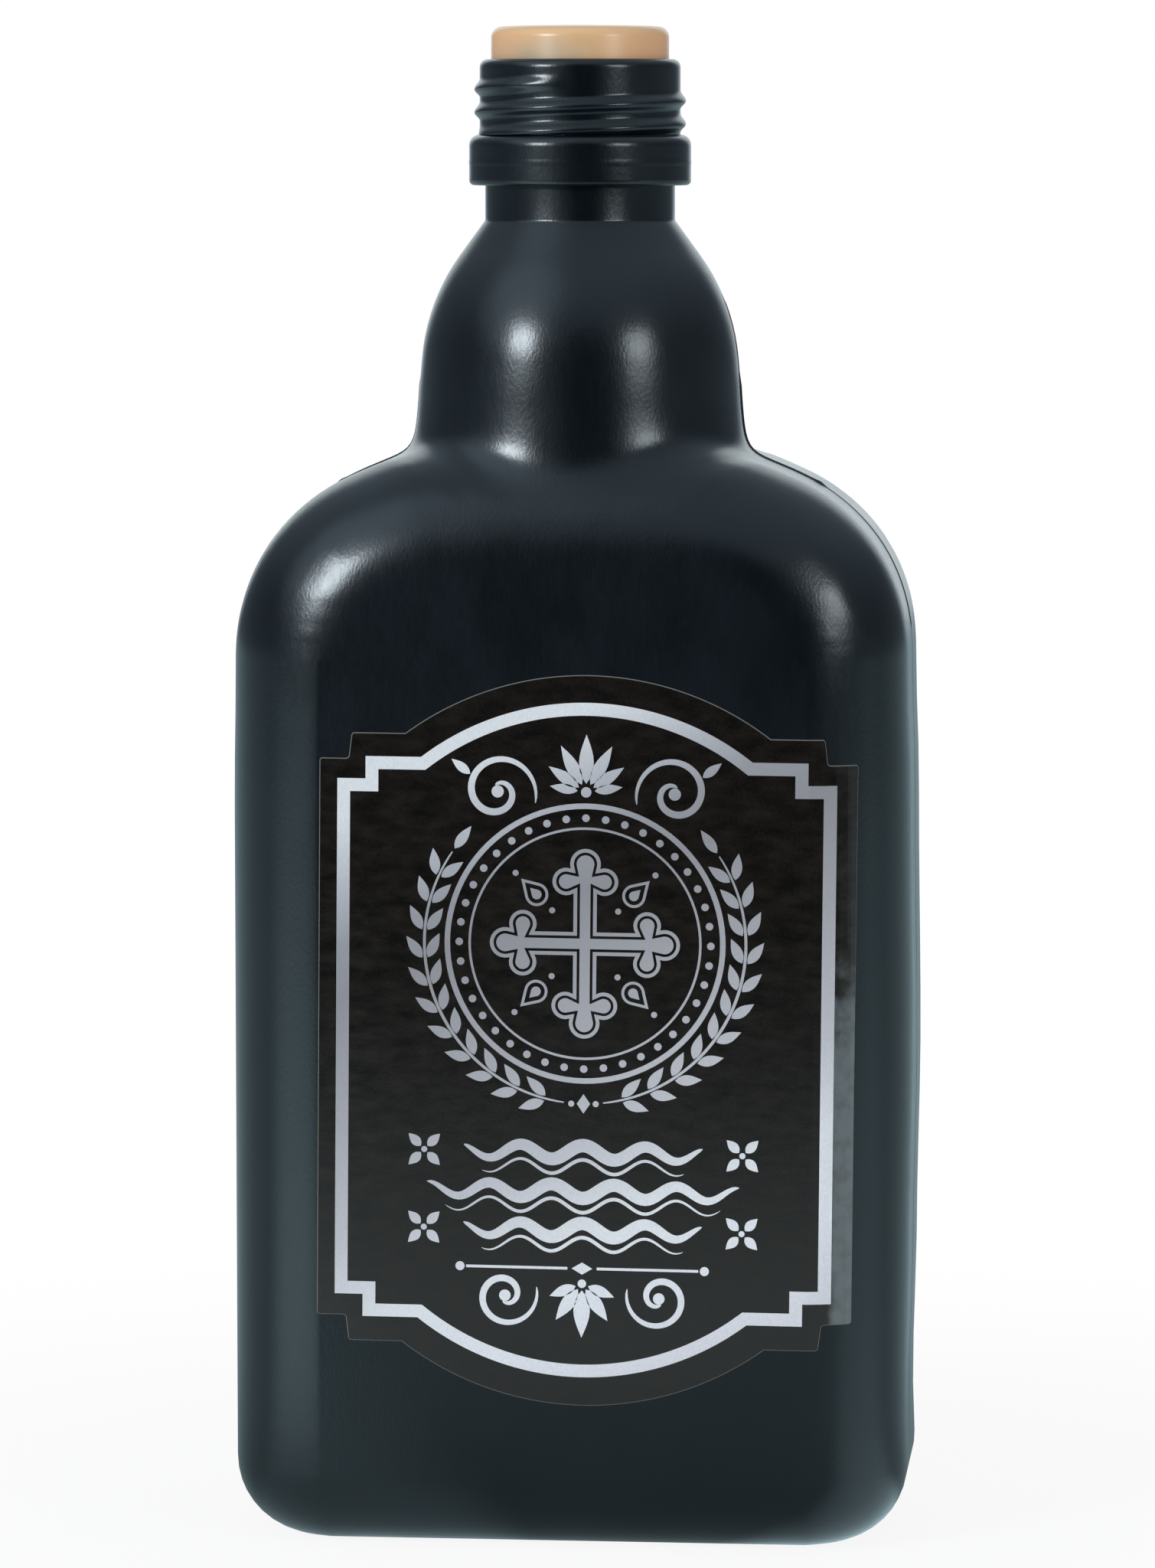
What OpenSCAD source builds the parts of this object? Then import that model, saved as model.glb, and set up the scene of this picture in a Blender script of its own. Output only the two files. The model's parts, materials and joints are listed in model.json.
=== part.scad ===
// Moulded plastic bottle with a bell-shaped dome, a screw neck, a push-in stopper and a die-cut label.
// It stands on its base at z = 0, its front faces -Y and its neck rises along +Z.

/* [Body] */
// Width from side to side
body_w = 111.8; // [98:0.2:130]
// Depth from the front face to the back face
body_d = 66; // [62:0.5:90]
// Rounding of the upright corners and of the shoulder's front and back rims
body_edge_r = 17.5; // [14:0.1:20]
// Height at which the straight sides end and the shoulder begins
side_h = 146; // [140:0.5:180]
// Rounding where each side turns into the shoulder
shoulder_corner_r = 32.4; // [26:0.2:38]
// Radius of the long crown of the shoulder
shoulder_crown_r = 87; // [74:0.5:115]
// Thickness of the moulded wall
wall_t = 1.5; // [1:0.1:2.4]

/* [Base] */
// Rounding of the edge that the walls turn under to the base
base_edge_r = 12.6; // [8:0.1:14]
// Length of the hollow pressed into the base
recess_l = 66; // [40:0.5:78]
// Width of the hollow pressed into the base
recess_w = 24; // [14:0.5:34]
// Depth of the hollow pressed into the base
recess_depth = 1.6; // [0.8:0.1:3]

/* [Dome] */
// Diameter of the dome at the top of its straight wall
dome_d = 52.4; // [50:0.1:56]
// Height of the straight wall above the top of the shoulder
dome_wall_h = 11.1; // [6:0.1:20]
// Draft of the straight wall, in degrees
dome_draft = 5; // [2:0.5:8]
// Radius of the arc that closes the dome
dome_arc_r = 33.6; // [30:0.2:40]
// Slope at which the dome runs up to the neck, in degrees from upright
dome_slope = 36; // [32:0.5:40]

/* [Neck] */
// Outer diameter of the plain neck
neck_d = 31.4; // [30.6:0.1:33]
// Height of the plain neck under the collar
neck_h = 4.8; // [3:0.1:12]
// Radius of the hollow blend between dome and neck
neck_blend_r = 3; // [1.5:0.1:5]
// Outer diameter of the collar band
collar_d = 36.7; // [36:0.1:42]
// Height of the collar band
collar_h = 8.3; // [5:0.1:12]
// Rounding of the edges of the collar band
collar_edge_r = 1.7; // [0.5:0.1:2.4]
// Outer diameter of the neck between the thread ridges
finish_d = 33.2; // [32.4:0.1:34]
// Height from the top of the collar to the top of the lip
finish_h = 12.4; // [11.5:0.1:18]
// Rounding of the outer edge of the lip
lip_r = 1.3; // [0.5:0.1:1.4]
// Diameter of the mouth
mouth_d = 29.5; // [28:0.1:30.4]

/* [Thread] */
// Diameter over the crests of the thread
thread_d = 35; // [34.4:0.1:36]
// Rise of the thread in one turn
thread_pitch = 3.8; // [3.2:0.1:4.2]
// Number of turns
thread_turns = 2.24; // [1.5:0.01:2.4]
// Direction in which the thread leaves the collar, in degrees from +X
thread_start = 180; // [0:5:355]
// Width of a thread ridge at its foot
thread_foot_w = 3; // [1.8:0.1:3.6]
// Width of a thread ridge at its crest
thread_crest_w = 1; // [0.4:0.1:1.4]
// Stretch over which each end of the thread rises from the neck, in degrees
thread_fade = 40; // [15:5:90]

/* [Stopper] */
// Height of the stopper above the lip
stopper_show = 5.6; // [4:0.1:14]
// Depth of the stopper below the lip
stopper_depth = 16; // [10:0.5:18]
// Thickness of the stopper's wall
stopper_wall_t = 2; // [1.2:0.1:4]
// Thickness of the stopper's top
stopper_top_t = 2.4; // [1.2:0.1:4]
// Rounding of the stopper's top edge
stopper_edge_r = 1.8; // [0.5:0.1:2.2]
// Gap between the stopper and the mouth, all round
stopper_gap = 0.05; // [0.02:0.01:0.1]

/* [Label] */
// Width of the label, seen from the front
label_w = 87.4; // [70:0.2:94]
// Height of the label's straight sides
label_side_h = 91.5; // [60:0.5:100]
// Width of the step in each corner
label_step_w = 5; // [2:0.1:8]
// Height of the step in each corner
label_step_h = 4.2; // [2:0.1:8]
// Length of the flat between the step and the arched end
label_flat_w = 9; // [4:0.1:14]
// Rise of the arched ends above the flats
label_arch_h = 9.9; // [5:0.1:12]
// Thickness of the label
label_t = 0.25; // [0.15:0.05:0.5]
// Height of the label's middle above the middle of the straight sides
label_raise = 5.4; // [0:0.1:8]
// How far the label was stuck on to the right
label_shift = 3.85; // [0:0.05:6]
// How far the label was stuck on askew, clockwise, in degrees
label_turn = 0.5; // [0:0.1:2]

/* [Hidden] */
$fn = 120;

// Colours
black_plastic = "#1b2226";
cork_tan = "#d9a570";
label_brown = "#241f1c";

// Shoulder: the crown's arc is centred on the axis and meets the corner arcs almost without a break.
// It dips a hair under a smooth run, and crown and corners lap past each other, so that they fuse cleanly.
crown_dip = 0.1;
crown_lap = 1;
corner_lap = 25;
corner_x = body_w / 2 - shoulder_corner_r;
corner_angle = acos(corner_x / (shoulder_crown_r - shoulder_corner_r));
crown_z = side_h - (shoulder_crown_r - shoulder_corner_r) * sin(corner_angle);
crown_from = corner_angle - crown_lap;
shoulder_top = crown_z + shoulder_crown_r - crown_dip;

// Heights and radii up the dome and neck
dome_wall_top = shoulder_top + dome_wall_h;
dome_root = shoulder_top - body_edge_r;
arc_x = dome_d / 2 - dome_arc_r * cos(dome_draft);
arc_z = dome_wall_top - dome_arc_r * sin(dome_draft);
neck_r = neck_d / 2;
slope_foot_r = arc_x + dome_arc_r * cos(dome_slope);
slope_foot_z = arc_z + dome_arc_r * sin(dome_slope);
slope_head_r = neck_r + neck_blend_r * (1 - cos(dome_slope));
slope_head_z = slope_foot_z + (slope_foot_r - slope_head_r) / tan(dome_slope);
neck_z = slope_head_z + neck_blend_r * sin(dome_slope);
collar_z = neck_z + neck_h;
collar_top = collar_z + collar_h;
lip_z = collar_top + finish_h;
collar_r = collar_d / 2;
finish_r = finish_d / 2;
mouth_r = mouth_d / 2;
lip_edge_r = min(lip_r, finish_r - mouth_r);
mouth_ledge_z = collar_z + wall_t;

// Thread: its ridge sinks into the neck so that both become one piece
thread_step = 10;
thread_sink = 0.5;
thread_drop = 0.2;
thread_end = 360 * thread_turns;
thread_rings = [for (a = [0 : thread_step : thread_end]) a];

// Stopper
stopper_r = mouth_r - stopper_gap;
stopper_top = lip_z + stopper_show;
stopper_foot = lip_z - stopper_depth;
stopper_foot_r = stopper_edge_r / 2;

// Label
label_z = (base_edge_r + side_h) / 2 + label_raise;
label_flat_z = label_side_h / 2 + label_step_h;
label_arch_half = label_w / 2 - label_step_w - label_flat_w;
label_arch_r = (pow(label_arch_half, 2) + pow(label_arch_h, 2)) / (2 * label_arch_h);

// Small overlaps that join cuts, stacked forms and arcs cleanly
join = 1;
arc_lap = 0.02;

// Rectangle about the origin with four equal round corners
module rounded_rect(w, h, r) {
    if (h > 2 * r) square([w, h - 2 * r], center = true);
    if (w > 2 * r) square([w - 2 * r, h], center = true);
    for (x = [-1, 1], y = [-1, 1])
        translate([x * (w / 2 - r), y * (h / 2 - r)]) circle(r);
}

// Sector of the body: the rim's cross-section swept about an axis along Y
module rim_sector(x, z, r, from, sweep, depth, edge) {
    translate([x, 0, z]) rotate([90, 0, 0])
        rotate_extrude(start = from, angle = sweep)
            intersection() {
                rounded_rect(2 * r, depth, edge);
                translate([0, -depth / 2]) square([r, depth]);
            }
}

// Lower half of a slab with round edges
module foot_section(w, r) {
    intersection() {
        rounded_rect(w, 2 * r, r);
        translate([-w / 2, -r]) square([w, r]);
    }
}

// Straight run of the rounded foot along Y
module foot_run(w, length, r) {
    translate([0, length / 2, base_edge_r]) rotate([90, 0, 0])
        linear_extrude(length) foot_section(w, r);
}

// Corner of the rounded foot: a quarter turn about an upright axis
module foot_corner(reach, r) {
    translate([0, 0, base_edge_r])
        rotate_extrude(angle = 90)
            intersection() {
                foot_section(2 * reach, r);
                translate([0, -r]) square([reach, r]);
            }
}

// The body below the dome, drawn in from its outer face by the inset
module body_form(inset) {
    width = body_w - 2 * inset;
    depth = body_d - 2 * inset;
    edge = body_edge_r - inset;
    foot_r = base_edge_r - inset;
    corner_r = shoulder_corner_r - inset;
    crown_r = shoulder_crown_r - crown_dip - inset;

    translate([0, 0, base_edge_r])
        linear_extrude(side_h - base_edge_r) rounded_rect(width, depth, edge);
    foot_run(width, depth - 2 * edge, foot_r);
    rotate([0, 0, 90]) foot_run(depth, width - 2 * edge, foot_r);
    for (side = [0, 1]) mirror([side, 0, 0]) {
        for (end = [0, 1]) mirror([0, end, 0])
            translate([width / 2 - edge, depth / 2 - edge, 0]) foot_corner(edge, foot_r);
        rim_sector(corner_x, side_h, corner_r, 0, corner_angle + corner_lap, depth, edge);
    }
    intersection() {
        rim_sector(0, crown_z, crown_r, crown_from, 180 - 2 * crown_from, depth, edge);
        translate([-body_w / 2, -body_d / 2 - join, side_h])
            cube([body_w, body_d + 2 * join, shoulder_top - side_h + join]);
    }
}

// Half profile of the dome and plain neck, drawn in from its outer face by the inset.
// The straight runs are one polygon, and the arcs cross it a hair past their tangent points.
module dome_profile(inset) {
    arc_r = dome_arc_r - inset;
    blend_r = neck_blend_r + inset;
    blend_x = neck_r + neck_blend_r;
    straight_r = neck_r - inset;
    top = mouth_ledge_z + join;

    wall_head = [arc_x + arc_r * cos(dome_draft), arc_z + arc_r * sin(dome_draft)];
    arc_head = [arc_x + arc_r * cos(dome_slope), arc_z + arc_r * sin(dome_slope)];
    wall_foot_r = wall_head[0] + (wall_head[1] - dome_root) * tan(dome_draft);
    peak_r = arc_r / cos((dome_slope - dome_draft) / 2);
    peak_angle = (dome_slope + dome_draft) / 2;
    peak = [arc_x + peak_r * cos(peak_angle), arc_z + peak_r * sin(peak_angle)];
    slope_end = arc_head[1] + (arc_head[0] - straight_r) / tan(dome_slope);
    blend_foot = neck_z - blend_r * sin(dome_slope);

    intersection() {
        polygon([[0, dome_root], [wall_foot_r, dome_root], peak,
                 [straight_r, slope_end], [straight_r, top], [0, top]]);
        union() {
            translate([0, dome_root]) square([dome_d, wall_head[1] - dome_root]);
            translate([arc_x, arc_z]) circle(arc_r + arc_lap);
            translate([0, arc_head[1]]) square([dome_d, top - arc_head[1]]);
        }
    }
    difference() {
        translate([0, blend_foot]) square([blend_x, neck_z - blend_foot]);
        translate([blend_x, neck_z]) circle(blend_r + arc_lap);
    }
}

// Half profile of a disc from z to z + h with its outer edges rounded
module band_profile(r, z, h, edge) {
    translate([0, z]) square([r - edge, h]);
    translate([0, z + edge]) square([r, h - 2 * edge]);
    for (level = [z + edge, z + h - edge])
        translate([r - edge, level]) circle(edge);
}

// Corners of the thread ridge at one place along its run; the ridge fades out at both ends
function ridge_height(a) =
    (thread_sink + thread_d / 2 - finish_r) * min(1, (a + 1) / thread_fade, (thread_end - a + 1) / thread_fade);
function ridge_ring(a) =
    let (foot = finish_r - thread_sink, crest = foot + ridge_height(a))
    let (z = collar_top - thread_drop + thread_pitch * a / 360, turn = thread_start + a)
    [for (p = [[foot, -thread_foot_w / 2], [crest, -thread_crest_w / 2],
               [crest, thread_crest_w / 2], [foot, thread_foot_w / 2]])
        [p[0] * cos(turn), p[0] * sin(turn), z + p[1]]];

module thread_ridge() {
    last = len(thread_rings) - 1;
    points = [for (a = thread_rings) each ridge_ring(a)];
    sides = [for (i = [0 : last - 1], k = [0 : 3])
        let (n = (k + 1) % 4)
        each [[4 * i + k, 4 * i + n, 4 * i + 4 + n], [4 * i + k, 4 * i + 4 + n, 4 * i + 4 + k]]];
    start_cap = [[0, 2, 1], [0, 3, 2]];
    end_cap = [[4 * last, 4 * last + 1, 4 * last + 2], [4 * last, 4 * last + 2, 4 * last + 3]];
    polyhedron(points, concat(sides, start_cap, end_cap));
}

// Hollow under the base, grown on all sides by the margin
module base_recess(margin) {
    w = recess_w + 2 * margin;
    linear_extrude(recess_depth + margin)
        rounded_rect(recess_l + 2 * margin, w, w / 2);
}

module bottle_inside() {
    difference() {
        body_form(wall_t);
        base_recess(wall_t);
    }
    rotate_extrude() {
        dome_profile(wall_t);
        translate([0, mouth_ledge_z]) square([mouth_r, lip_z - mouth_ledge_z + join]);
    }
}

module bottle() {
    color(black_plastic)
        difference() {
            union() {
                body_form(0);
                rotate_extrude() {
                    dome_profile(0);
                    band_profile(collar_r, collar_z, collar_h, collar_edge_r);
                    band_profile(finish_r, collar_top - collar_h / 2, finish_h + collar_h / 2, lip_edge_r);
                }
                thread_ridge();
            }
            bottle_inside();
            base_recess(0);
        }
}

module stopper() {
    color(cork_tan)
        rotate_extrude()
            difference() {
                union() {
                    band_profile(stopper_r, stopper_foot + stopper_depth / 2,
                        stopper_top - stopper_foot - stopper_depth / 2, stopper_edge_r);
                    band_profile(stopper_r, stopper_foot, stopper_depth, stopper_foot_r);
                }
                translate([0, stopper_foot - join])
                    square([stopper_r - stopper_wall_t, stopper_top - stopper_top_t - stopper_foot + join]);
            }
}

// Die-cut outline: straight sides, a step in each corner and an arch at each end
module label_outline() {
    square([label_w, label_side_h], center = true);
    square([label_w - 2 * label_step_w, 2 * label_flat_z], center = true);
    for (flip = [0, 1]) mirror([0, flip])
        intersection() {
            translate([0, label_flat_z + label_arch_h - label_arch_r]) circle(label_arch_r);
            translate([-label_arch_half, 0]) square([2 * label_arch_half, label_flat_z + label_arch_h]);
        }
}

module front_label() {
    height = 2 * (label_flat_z + label_arch_h) + 2 * join;
    color(label_brown)
        intersection() {
            translate([0, 0, label_z - height / 2])
                linear_extrude(height)
                    difference() {
                        rounded_rect(body_w + 2 * label_t, body_d + 2 * label_t, body_edge_r + label_t);
                        rounded_rect(body_w, body_d, body_edge_r);
                    }
            translate([label_shift, 0, label_z]) rotate([90, 0, 0]) rotate([0, 0, -label_turn])
                linear_extrude(body_d / 2 + label_t + join) label_outline();
        }
}

bottle();
stopper();
front_label();
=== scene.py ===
# %% [markdown]
# # A moulded bottle with a stopper and a printed label
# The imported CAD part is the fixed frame: it gives every piece its place and its body. This lesson builds the
# looks round it, piece by piece, from the part's own sizes, so nothing has to be fitted by eye.

# %% Load the frame
import functools
import json
import math

import bmesh
import bpy
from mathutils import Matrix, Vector

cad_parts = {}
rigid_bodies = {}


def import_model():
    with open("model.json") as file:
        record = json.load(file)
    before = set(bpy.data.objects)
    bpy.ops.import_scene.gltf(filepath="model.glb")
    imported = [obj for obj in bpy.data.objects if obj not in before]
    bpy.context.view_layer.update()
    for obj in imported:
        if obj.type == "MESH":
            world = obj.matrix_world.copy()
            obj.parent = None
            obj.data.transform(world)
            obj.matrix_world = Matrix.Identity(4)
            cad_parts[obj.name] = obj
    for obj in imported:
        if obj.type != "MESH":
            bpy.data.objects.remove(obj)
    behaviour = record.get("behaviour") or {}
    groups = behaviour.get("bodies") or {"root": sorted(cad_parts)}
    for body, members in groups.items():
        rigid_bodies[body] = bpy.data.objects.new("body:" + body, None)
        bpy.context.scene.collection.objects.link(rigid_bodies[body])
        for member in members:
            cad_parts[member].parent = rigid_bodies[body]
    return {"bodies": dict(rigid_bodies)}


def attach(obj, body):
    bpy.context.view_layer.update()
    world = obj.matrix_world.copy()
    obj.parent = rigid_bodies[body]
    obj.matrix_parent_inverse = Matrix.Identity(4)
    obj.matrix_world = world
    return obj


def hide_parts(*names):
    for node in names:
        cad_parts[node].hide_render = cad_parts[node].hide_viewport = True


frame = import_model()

bodies = frame["bodies"].values()
for leftover in [o for o in bpy.data.objects if o not in bodies and o.parent not in bodies]:
    bpy.data.objects.remove(leftover)
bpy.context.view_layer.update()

# %% [markdown]
# ## Sizes
# The sizes are the part's own, written in millimetres and turned to metres once. The rim is the exception:
# its radius EDGE_R is 1.4 mm larger than the solid's. Later cells add the softness of the moulding that the
# solids leave out: the hollow blend at the dome's foot, the parting line, and the way that the long sides
# swell by half a millimetre between shoulder and base.

# %% Sizes of the bottle
MM = 0.001
BODY_W, BODY_D, SIDE_H = 111.8 * MM, 66 * MM, 146 * MM
EDGE_R, EDGE_Y = 18.9 * MM, 14.4 * MM
CORNER_R, CROWN_R, CROWN_DIP, WALL = 32.4 * MM, 87 * MM, 0.1 * MM, 1.5 * MM
BASE_R = 12.6 * MM
RECESS_L, RECESS_W, RECESS_DEPTH = 66 * MM, 24 * MM, 1.6 * MM
DOME_R, DOME_WALL_H, DOME_DRAFT, DOME_ARC_R, DOME_SLOPE = 26.2 * MM, 11.1 * MM, 5, 33.6 * MM, 36
NECK_R, NECK_BLEND_R, NECK_H = 15.7 * MM, 3 * MM, 4.8 * MM
COLLAR_R, COLLAR_H, COLLAR_EDGE_R = 18.35 * MM, 8.3 * MM, 1.7 * MM
FINISH_R, FINISH_H, LIP_R, MOUTH_R = 16.6 * MM, 12.4 * MM, 1.3 * MM, 14.75 * MM
THREAD_R, THREAD_PITCH, THREAD_TURNS, THREAD_FADE = 17.5 * MM, 3.8 * MM, 2.24, 40


def mm(length):
    """A length for printing."""
    return round(length / MM, 2)


def sin(degrees):
    return math.sin(math.radians(degrees))


def cos(degrees):
    return math.cos(math.radians(degrees))


def tan(degrees):
    return math.tan(math.radians(degrees))


def acos(ratio):
    return math.degrees(math.acos(ratio))


def atan2(rise, run):
    return math.degrees(math.atan2(rise, run))


CORNER_X = BODY_W / 2 - CORNER_R
CORNER_ANGLE = acos(CORNER_X / (CROWN_R - CORNER_R))
CROWN_Z = SIDE_H - (CROWN_R - CORNER_R) * sin(CORNER_ANGLE)
SHOULDER_TOP = CROWN_Z + CROWN_R - CROWN_DIP
DOME_WALL_TOP = SHOULDER_TOP + DOME_WALL_H
ARC_X, ARC_Z = DOME_R - DOME_ARC_R * cos(DOME_DRAFT), DOME_WALL_TOP - DOME_ARC_R * sin(DOME_DRAFT)
print("Shoulder top and dome wall top in mm:", mm(SHOULDER_TOP), mm(DOME_WALL_TOP))

# %% [markdown]
# ## Working by hand, in code
# Each piece starts as a primitive and is shaped in edit mode with the same operators that a hand would use.
# These helpers do the clicking: they enter edit mode, select by place, and apply a modifier.

# %% Helpers
# Places count as one within SAME metres, and a cut snaps to a point within FINE metres.
SAME, FINE = 1e-6, 1e-7


def open_piece():
    bpy.ops.object.mode_set(mode="EDIT")


def close_piece():
    bpy.ops.object.mode_set(mode="OBJECT")


def new_piece(name):
    """Names the primitive that was just added and opens it in edit mode."""
    piece = bpy.context.object
    piece.name = piece.data.name = name
    open_piece()
    return piece


def edited():
    """The mesh that is being edited."""
    return bmesh.from_edit_mesh(bpy.context.edit_object.data)


def select_all():
    bpy.ops.mesh.select_all(action="SELECT")


def pick(test, kind="VERT"):
    """Selects what passes the test in the mesh that is being edited, and nothing else. Returns how many."""
    bpy.ops.mesh.select_mode(type=kind)
    bpy.ops.mesh.select_all(action="DESELECT")
    mesh = edited()
    items = {"VERT": mesh.verts, "EDGE": mesh.edges, "FACE": mesh.faces}[kind]
    found = [item for item in items if test(item)]
    for item in found:
        item.select_set(True)
    mesh.select_flush_mode()
    bmesh.update_edit_mesh(bpy.context.edit_object.data)
    return len(found)


def pull(by=(0, 0, 0)):
    """Extrudes the selection and moves the new part."""
    bpy.ops.mesh.extrude_region_move(TRANSFORM_OT_translate={"value": by})


def move(*by):
    bpy.ops.transform.translate(value=by)


def bevel(width, cuts, affect="EDGES", **settings):
    """Rounds the selected edges or corners."""
    bpy.ops.mesh.bevel(offset=width, segments=cuts, profile=0.5, affect=affect, clamp_overlap=False,
                       **settings)


def face_outwards():
    select_all()
    bpy.ops.mesh.normals_make_consistent(inside=False)


def near(a, b, slack=SAME):
    return abs(a - b) < slack


def plan_radius(place):
    return math.hypot(place.x, place.y)


def signed(place, x, y):
    """The place, moved to the quarter of the plan that x and y are in."""
    return math.copysign(place[0], x), math.copysign(place[1], y)


def apply_modifier(piece, kind, **settings):
    """Adds one modifier with its settings and applies it at once."""
    bpy.ops.object.select_all(action="DESELECT")
    piece.select_set(True)
    bpy.context.view_layer.objects.active = piece
    modifier = piece.modifiers.new(kind.lower(), kind)
    for key, value in settings.items():
        setattr(modifier, key, value)
    bpy.ops.object.modifier_apply(modifier=modifier.name)


print("Helpers ready, places are the same within", SAME / MM, "mm")

# %% [markdown]
# ## Shoulder form
# The shoulder is one outline, straight sides, a corner arc and a long crown, swept round a soft rim. It could
# be sculpted, but its shape is exact, so it is drawn: an edge is spun round the two arc centres, pulled
# through the depth of the bottle and bevelled. Flat cuts then give the front and back panels, and the brow
# over them is let down a little in the middle. The result is only a form to press the real mesh onto.

# %% Half outline by spin, mirrored, extruded and bevelled
SPIN_STEPS = 48
FORM_FOOT = 90 * MM
FULL_D = 2 * (EDGE_Y + EDGE_R)
RIM_LONGEST = 0.9 * BODY_W
BROW_DROP, BROW_X = 0.26, 26 * MM

bpy.ops.mesh.primitive_plane_add(size=BODY_W, location=(0, 0, 0))
form = new_piece("shoulder_form")
pick(lambda v: v.co.x < 0 or v.co.y > 0)
bpy.ops.mesh.delete(type="VERT")
pick(lambda v: True)
move(0, BODY_W / 2, FORM_FOOT)
pull((0, 0, SIDE_H - FORM_FOOT))
bpy.ops.mesh.spin(steps=SPIN_STEPS, angle=math.radians(CORNER_ANGLE), axis=(0, 1, 0),
                  center=(CORNER_X, 0, SIDE_H))
bpy.ops.mesh.spin(steps=SPIN_STEPS, angle=math.radians(90 - CORNER_ANGLE), axis=(0, 1, 0),
                  center=(0, 0, CROWN_Z))
close_piece()
print("Half outline:", len(form.data.vertices), "points")

apply_modifier(form, "MIRROR", use_mirror_merge=True, merge_threshold=SAME)
open_piece()
pick(lambda v: True)
move(0, -FULL_D / 2, 0)
pull((0, FULL_D, 0))
for face_y in (-FULL_D / 2, FULL_D / 2):
    pick(lambda v: near(v.co.y, face_y))
    bpy.ops.mesh.edge_face_add()
face_outwards()
pick(lambda e: near(abs(e.verts[0].co.y), FULL_D / 2) and near(e.verts[0].co.y, e.verts[1].co.y)
     and e.calc_length() < RIM_LONGEST, "EDGE")
bevel(EDGE_R, SPIN_STEPS // 2)
for side in (-1, 1):
    select_all()
    bpy.ops.mesh.bisect(plane_co=(0, side * BODY_D / 2, 0), plane_no=(0, side, 0), clear_outer=True,
                        threshold=FINE)
    pick(lambda v: near(v.co.y, side * BODY_D / 2))
    bpy.ops.mesh.edge_face_add()
close_piece()


def crown_height(x):
    """Height of the shoulder's outline over a place on the width."""
    if abs(x) < CROWN_R * cos(CORNER_ANGLE):
        return CROWN_Z + math.sqrt(CROWN_R ** 2 - x * x)
    return SIDE_H + math.sqrt(max(0, CORNER_R ** 2 - (abs(x) - CORNER_X) ** 2))


for v in form.data.vertices:
    middle = max(0, 1 - (v.co.x / BROW_X) ** 2)
    if v.co.z > SIDE_H and abs(v.co.y) > EDGE_Y:
        v.co.z -= BROW_DROP * middle * (crown_height(v.co.x) - v.co.z)
print("Shoulder form:", len(form.data.polygons), "faces")

# %% [markdown]
# ## Bottle: dome and neck
# The real bottle is blown from one tube of plastic, so its skin is one sheet that runs round the axis. It is
# modelled the same way: a circle is pressed onto the shoulder form where the dome stands, and its ring is
# pulled up, ring by ring, to the plain neck. Every ring keeps the same points, so the net of quads is even.
# Where the dome meets the neck, the hollow NECK_SOFT_R is tighter than the solid's blend.

# %% The dome's ring, pressed onto the shoulder
CORNER_CUTS, FRONT_CUTS, SIDE_CUTS = 12, 40, 18
RING = 4 * CORNER_CUTS + 2 * FRONT_CUTS + 2 * SIDE_CUTS
FOOT_DROP = 14.7 * MM
FOOT_R = DOME_R + FOOT_DROP * tan(DOME_DRAFT)

bpy.ops.mesh.primitive_circle_add(vertices=RING, radius=FOOT_R, location=(0, 0, 0))
bottle = new_piece("bottle_shell")
move(0, 0, DOME_WALL_TOP)
close_piece()
apply_modifier(bottle, "SHRINKWRAP", target=form, wrap_method="PROJECT", use_project_z=True,
               use_negative_direction=True, use_positive_direction=False)
crease = [v.co.z for v in bottle.data.vertices]
crease_z = sum(crease) / RING
print("Crease from", mm(min(crease)), "to", mm(max(crease)), "mm")

# %% Up the dome to the neck
FOOT_ROWS, FOOT_ROW_H, FOOT_LEVEL = 5, 1.3 * MM, 0.7
DOME_RINGS = (188 * MM, 190 * MM, 192.4 * MM, DOME_WALL_TOP)
DOME_STEPS, NECK_STEPS, NECK_SOFT_R = 10, 3, 0.9 * MM


def wall_r(z):
    return DOME_R + (DOME_WALL_TOP - z) * tan(DOME_DRAFT)


def pull_ring(ring, radius, z, level=1):
    """Extrudes the selected ring to a radius and height; level below 1 flattens its saddle."""
    grow = radius / ring["r"]
    pull((0, 0, z - ring["z"]))
    bpy.ops.transform.resize(value=(grow, grow, level), center_override=(0, 0, z))
    ring.update(r=radius, z=z)


def pull_arc(ring, centre, radius, start, stop, steps, first=0):
    """Pulls rings along an arc of the profile, from one angle to another; first=1 leaves out the start."""
    for step in range(first, steps + 1):
        angle = start + (stop - start) * step / steps
        pull_ring(ring, centre[0] + radius * cos(angle), centre[1] + radius * sin(angle))


slope_foot = (ARC_X + DOME_ARC_R * cos(DOME_SLOPE), ARC_Z + DOME_ARC_R * sin(DOME_SLOPE))
blend_head_r = NECK_R + NECK_BLEND_R * (1 - cos(DOME_SLOPE))
blend_head_z = slope_foot[1] + (slope_foot[0] - blend_head_r) / tan(DOME_SLOPE)
NECK_Z = blend_head_z + NECK_BLEND_R * sin(DOME_SLOPE)
COLLAR_Z = NECK_Z + NECK_H
COLLAR_TOP = COLLAR_Z + COLLAR_H
LIP_Z = COLLAR_TOP + FINISH_H

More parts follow.
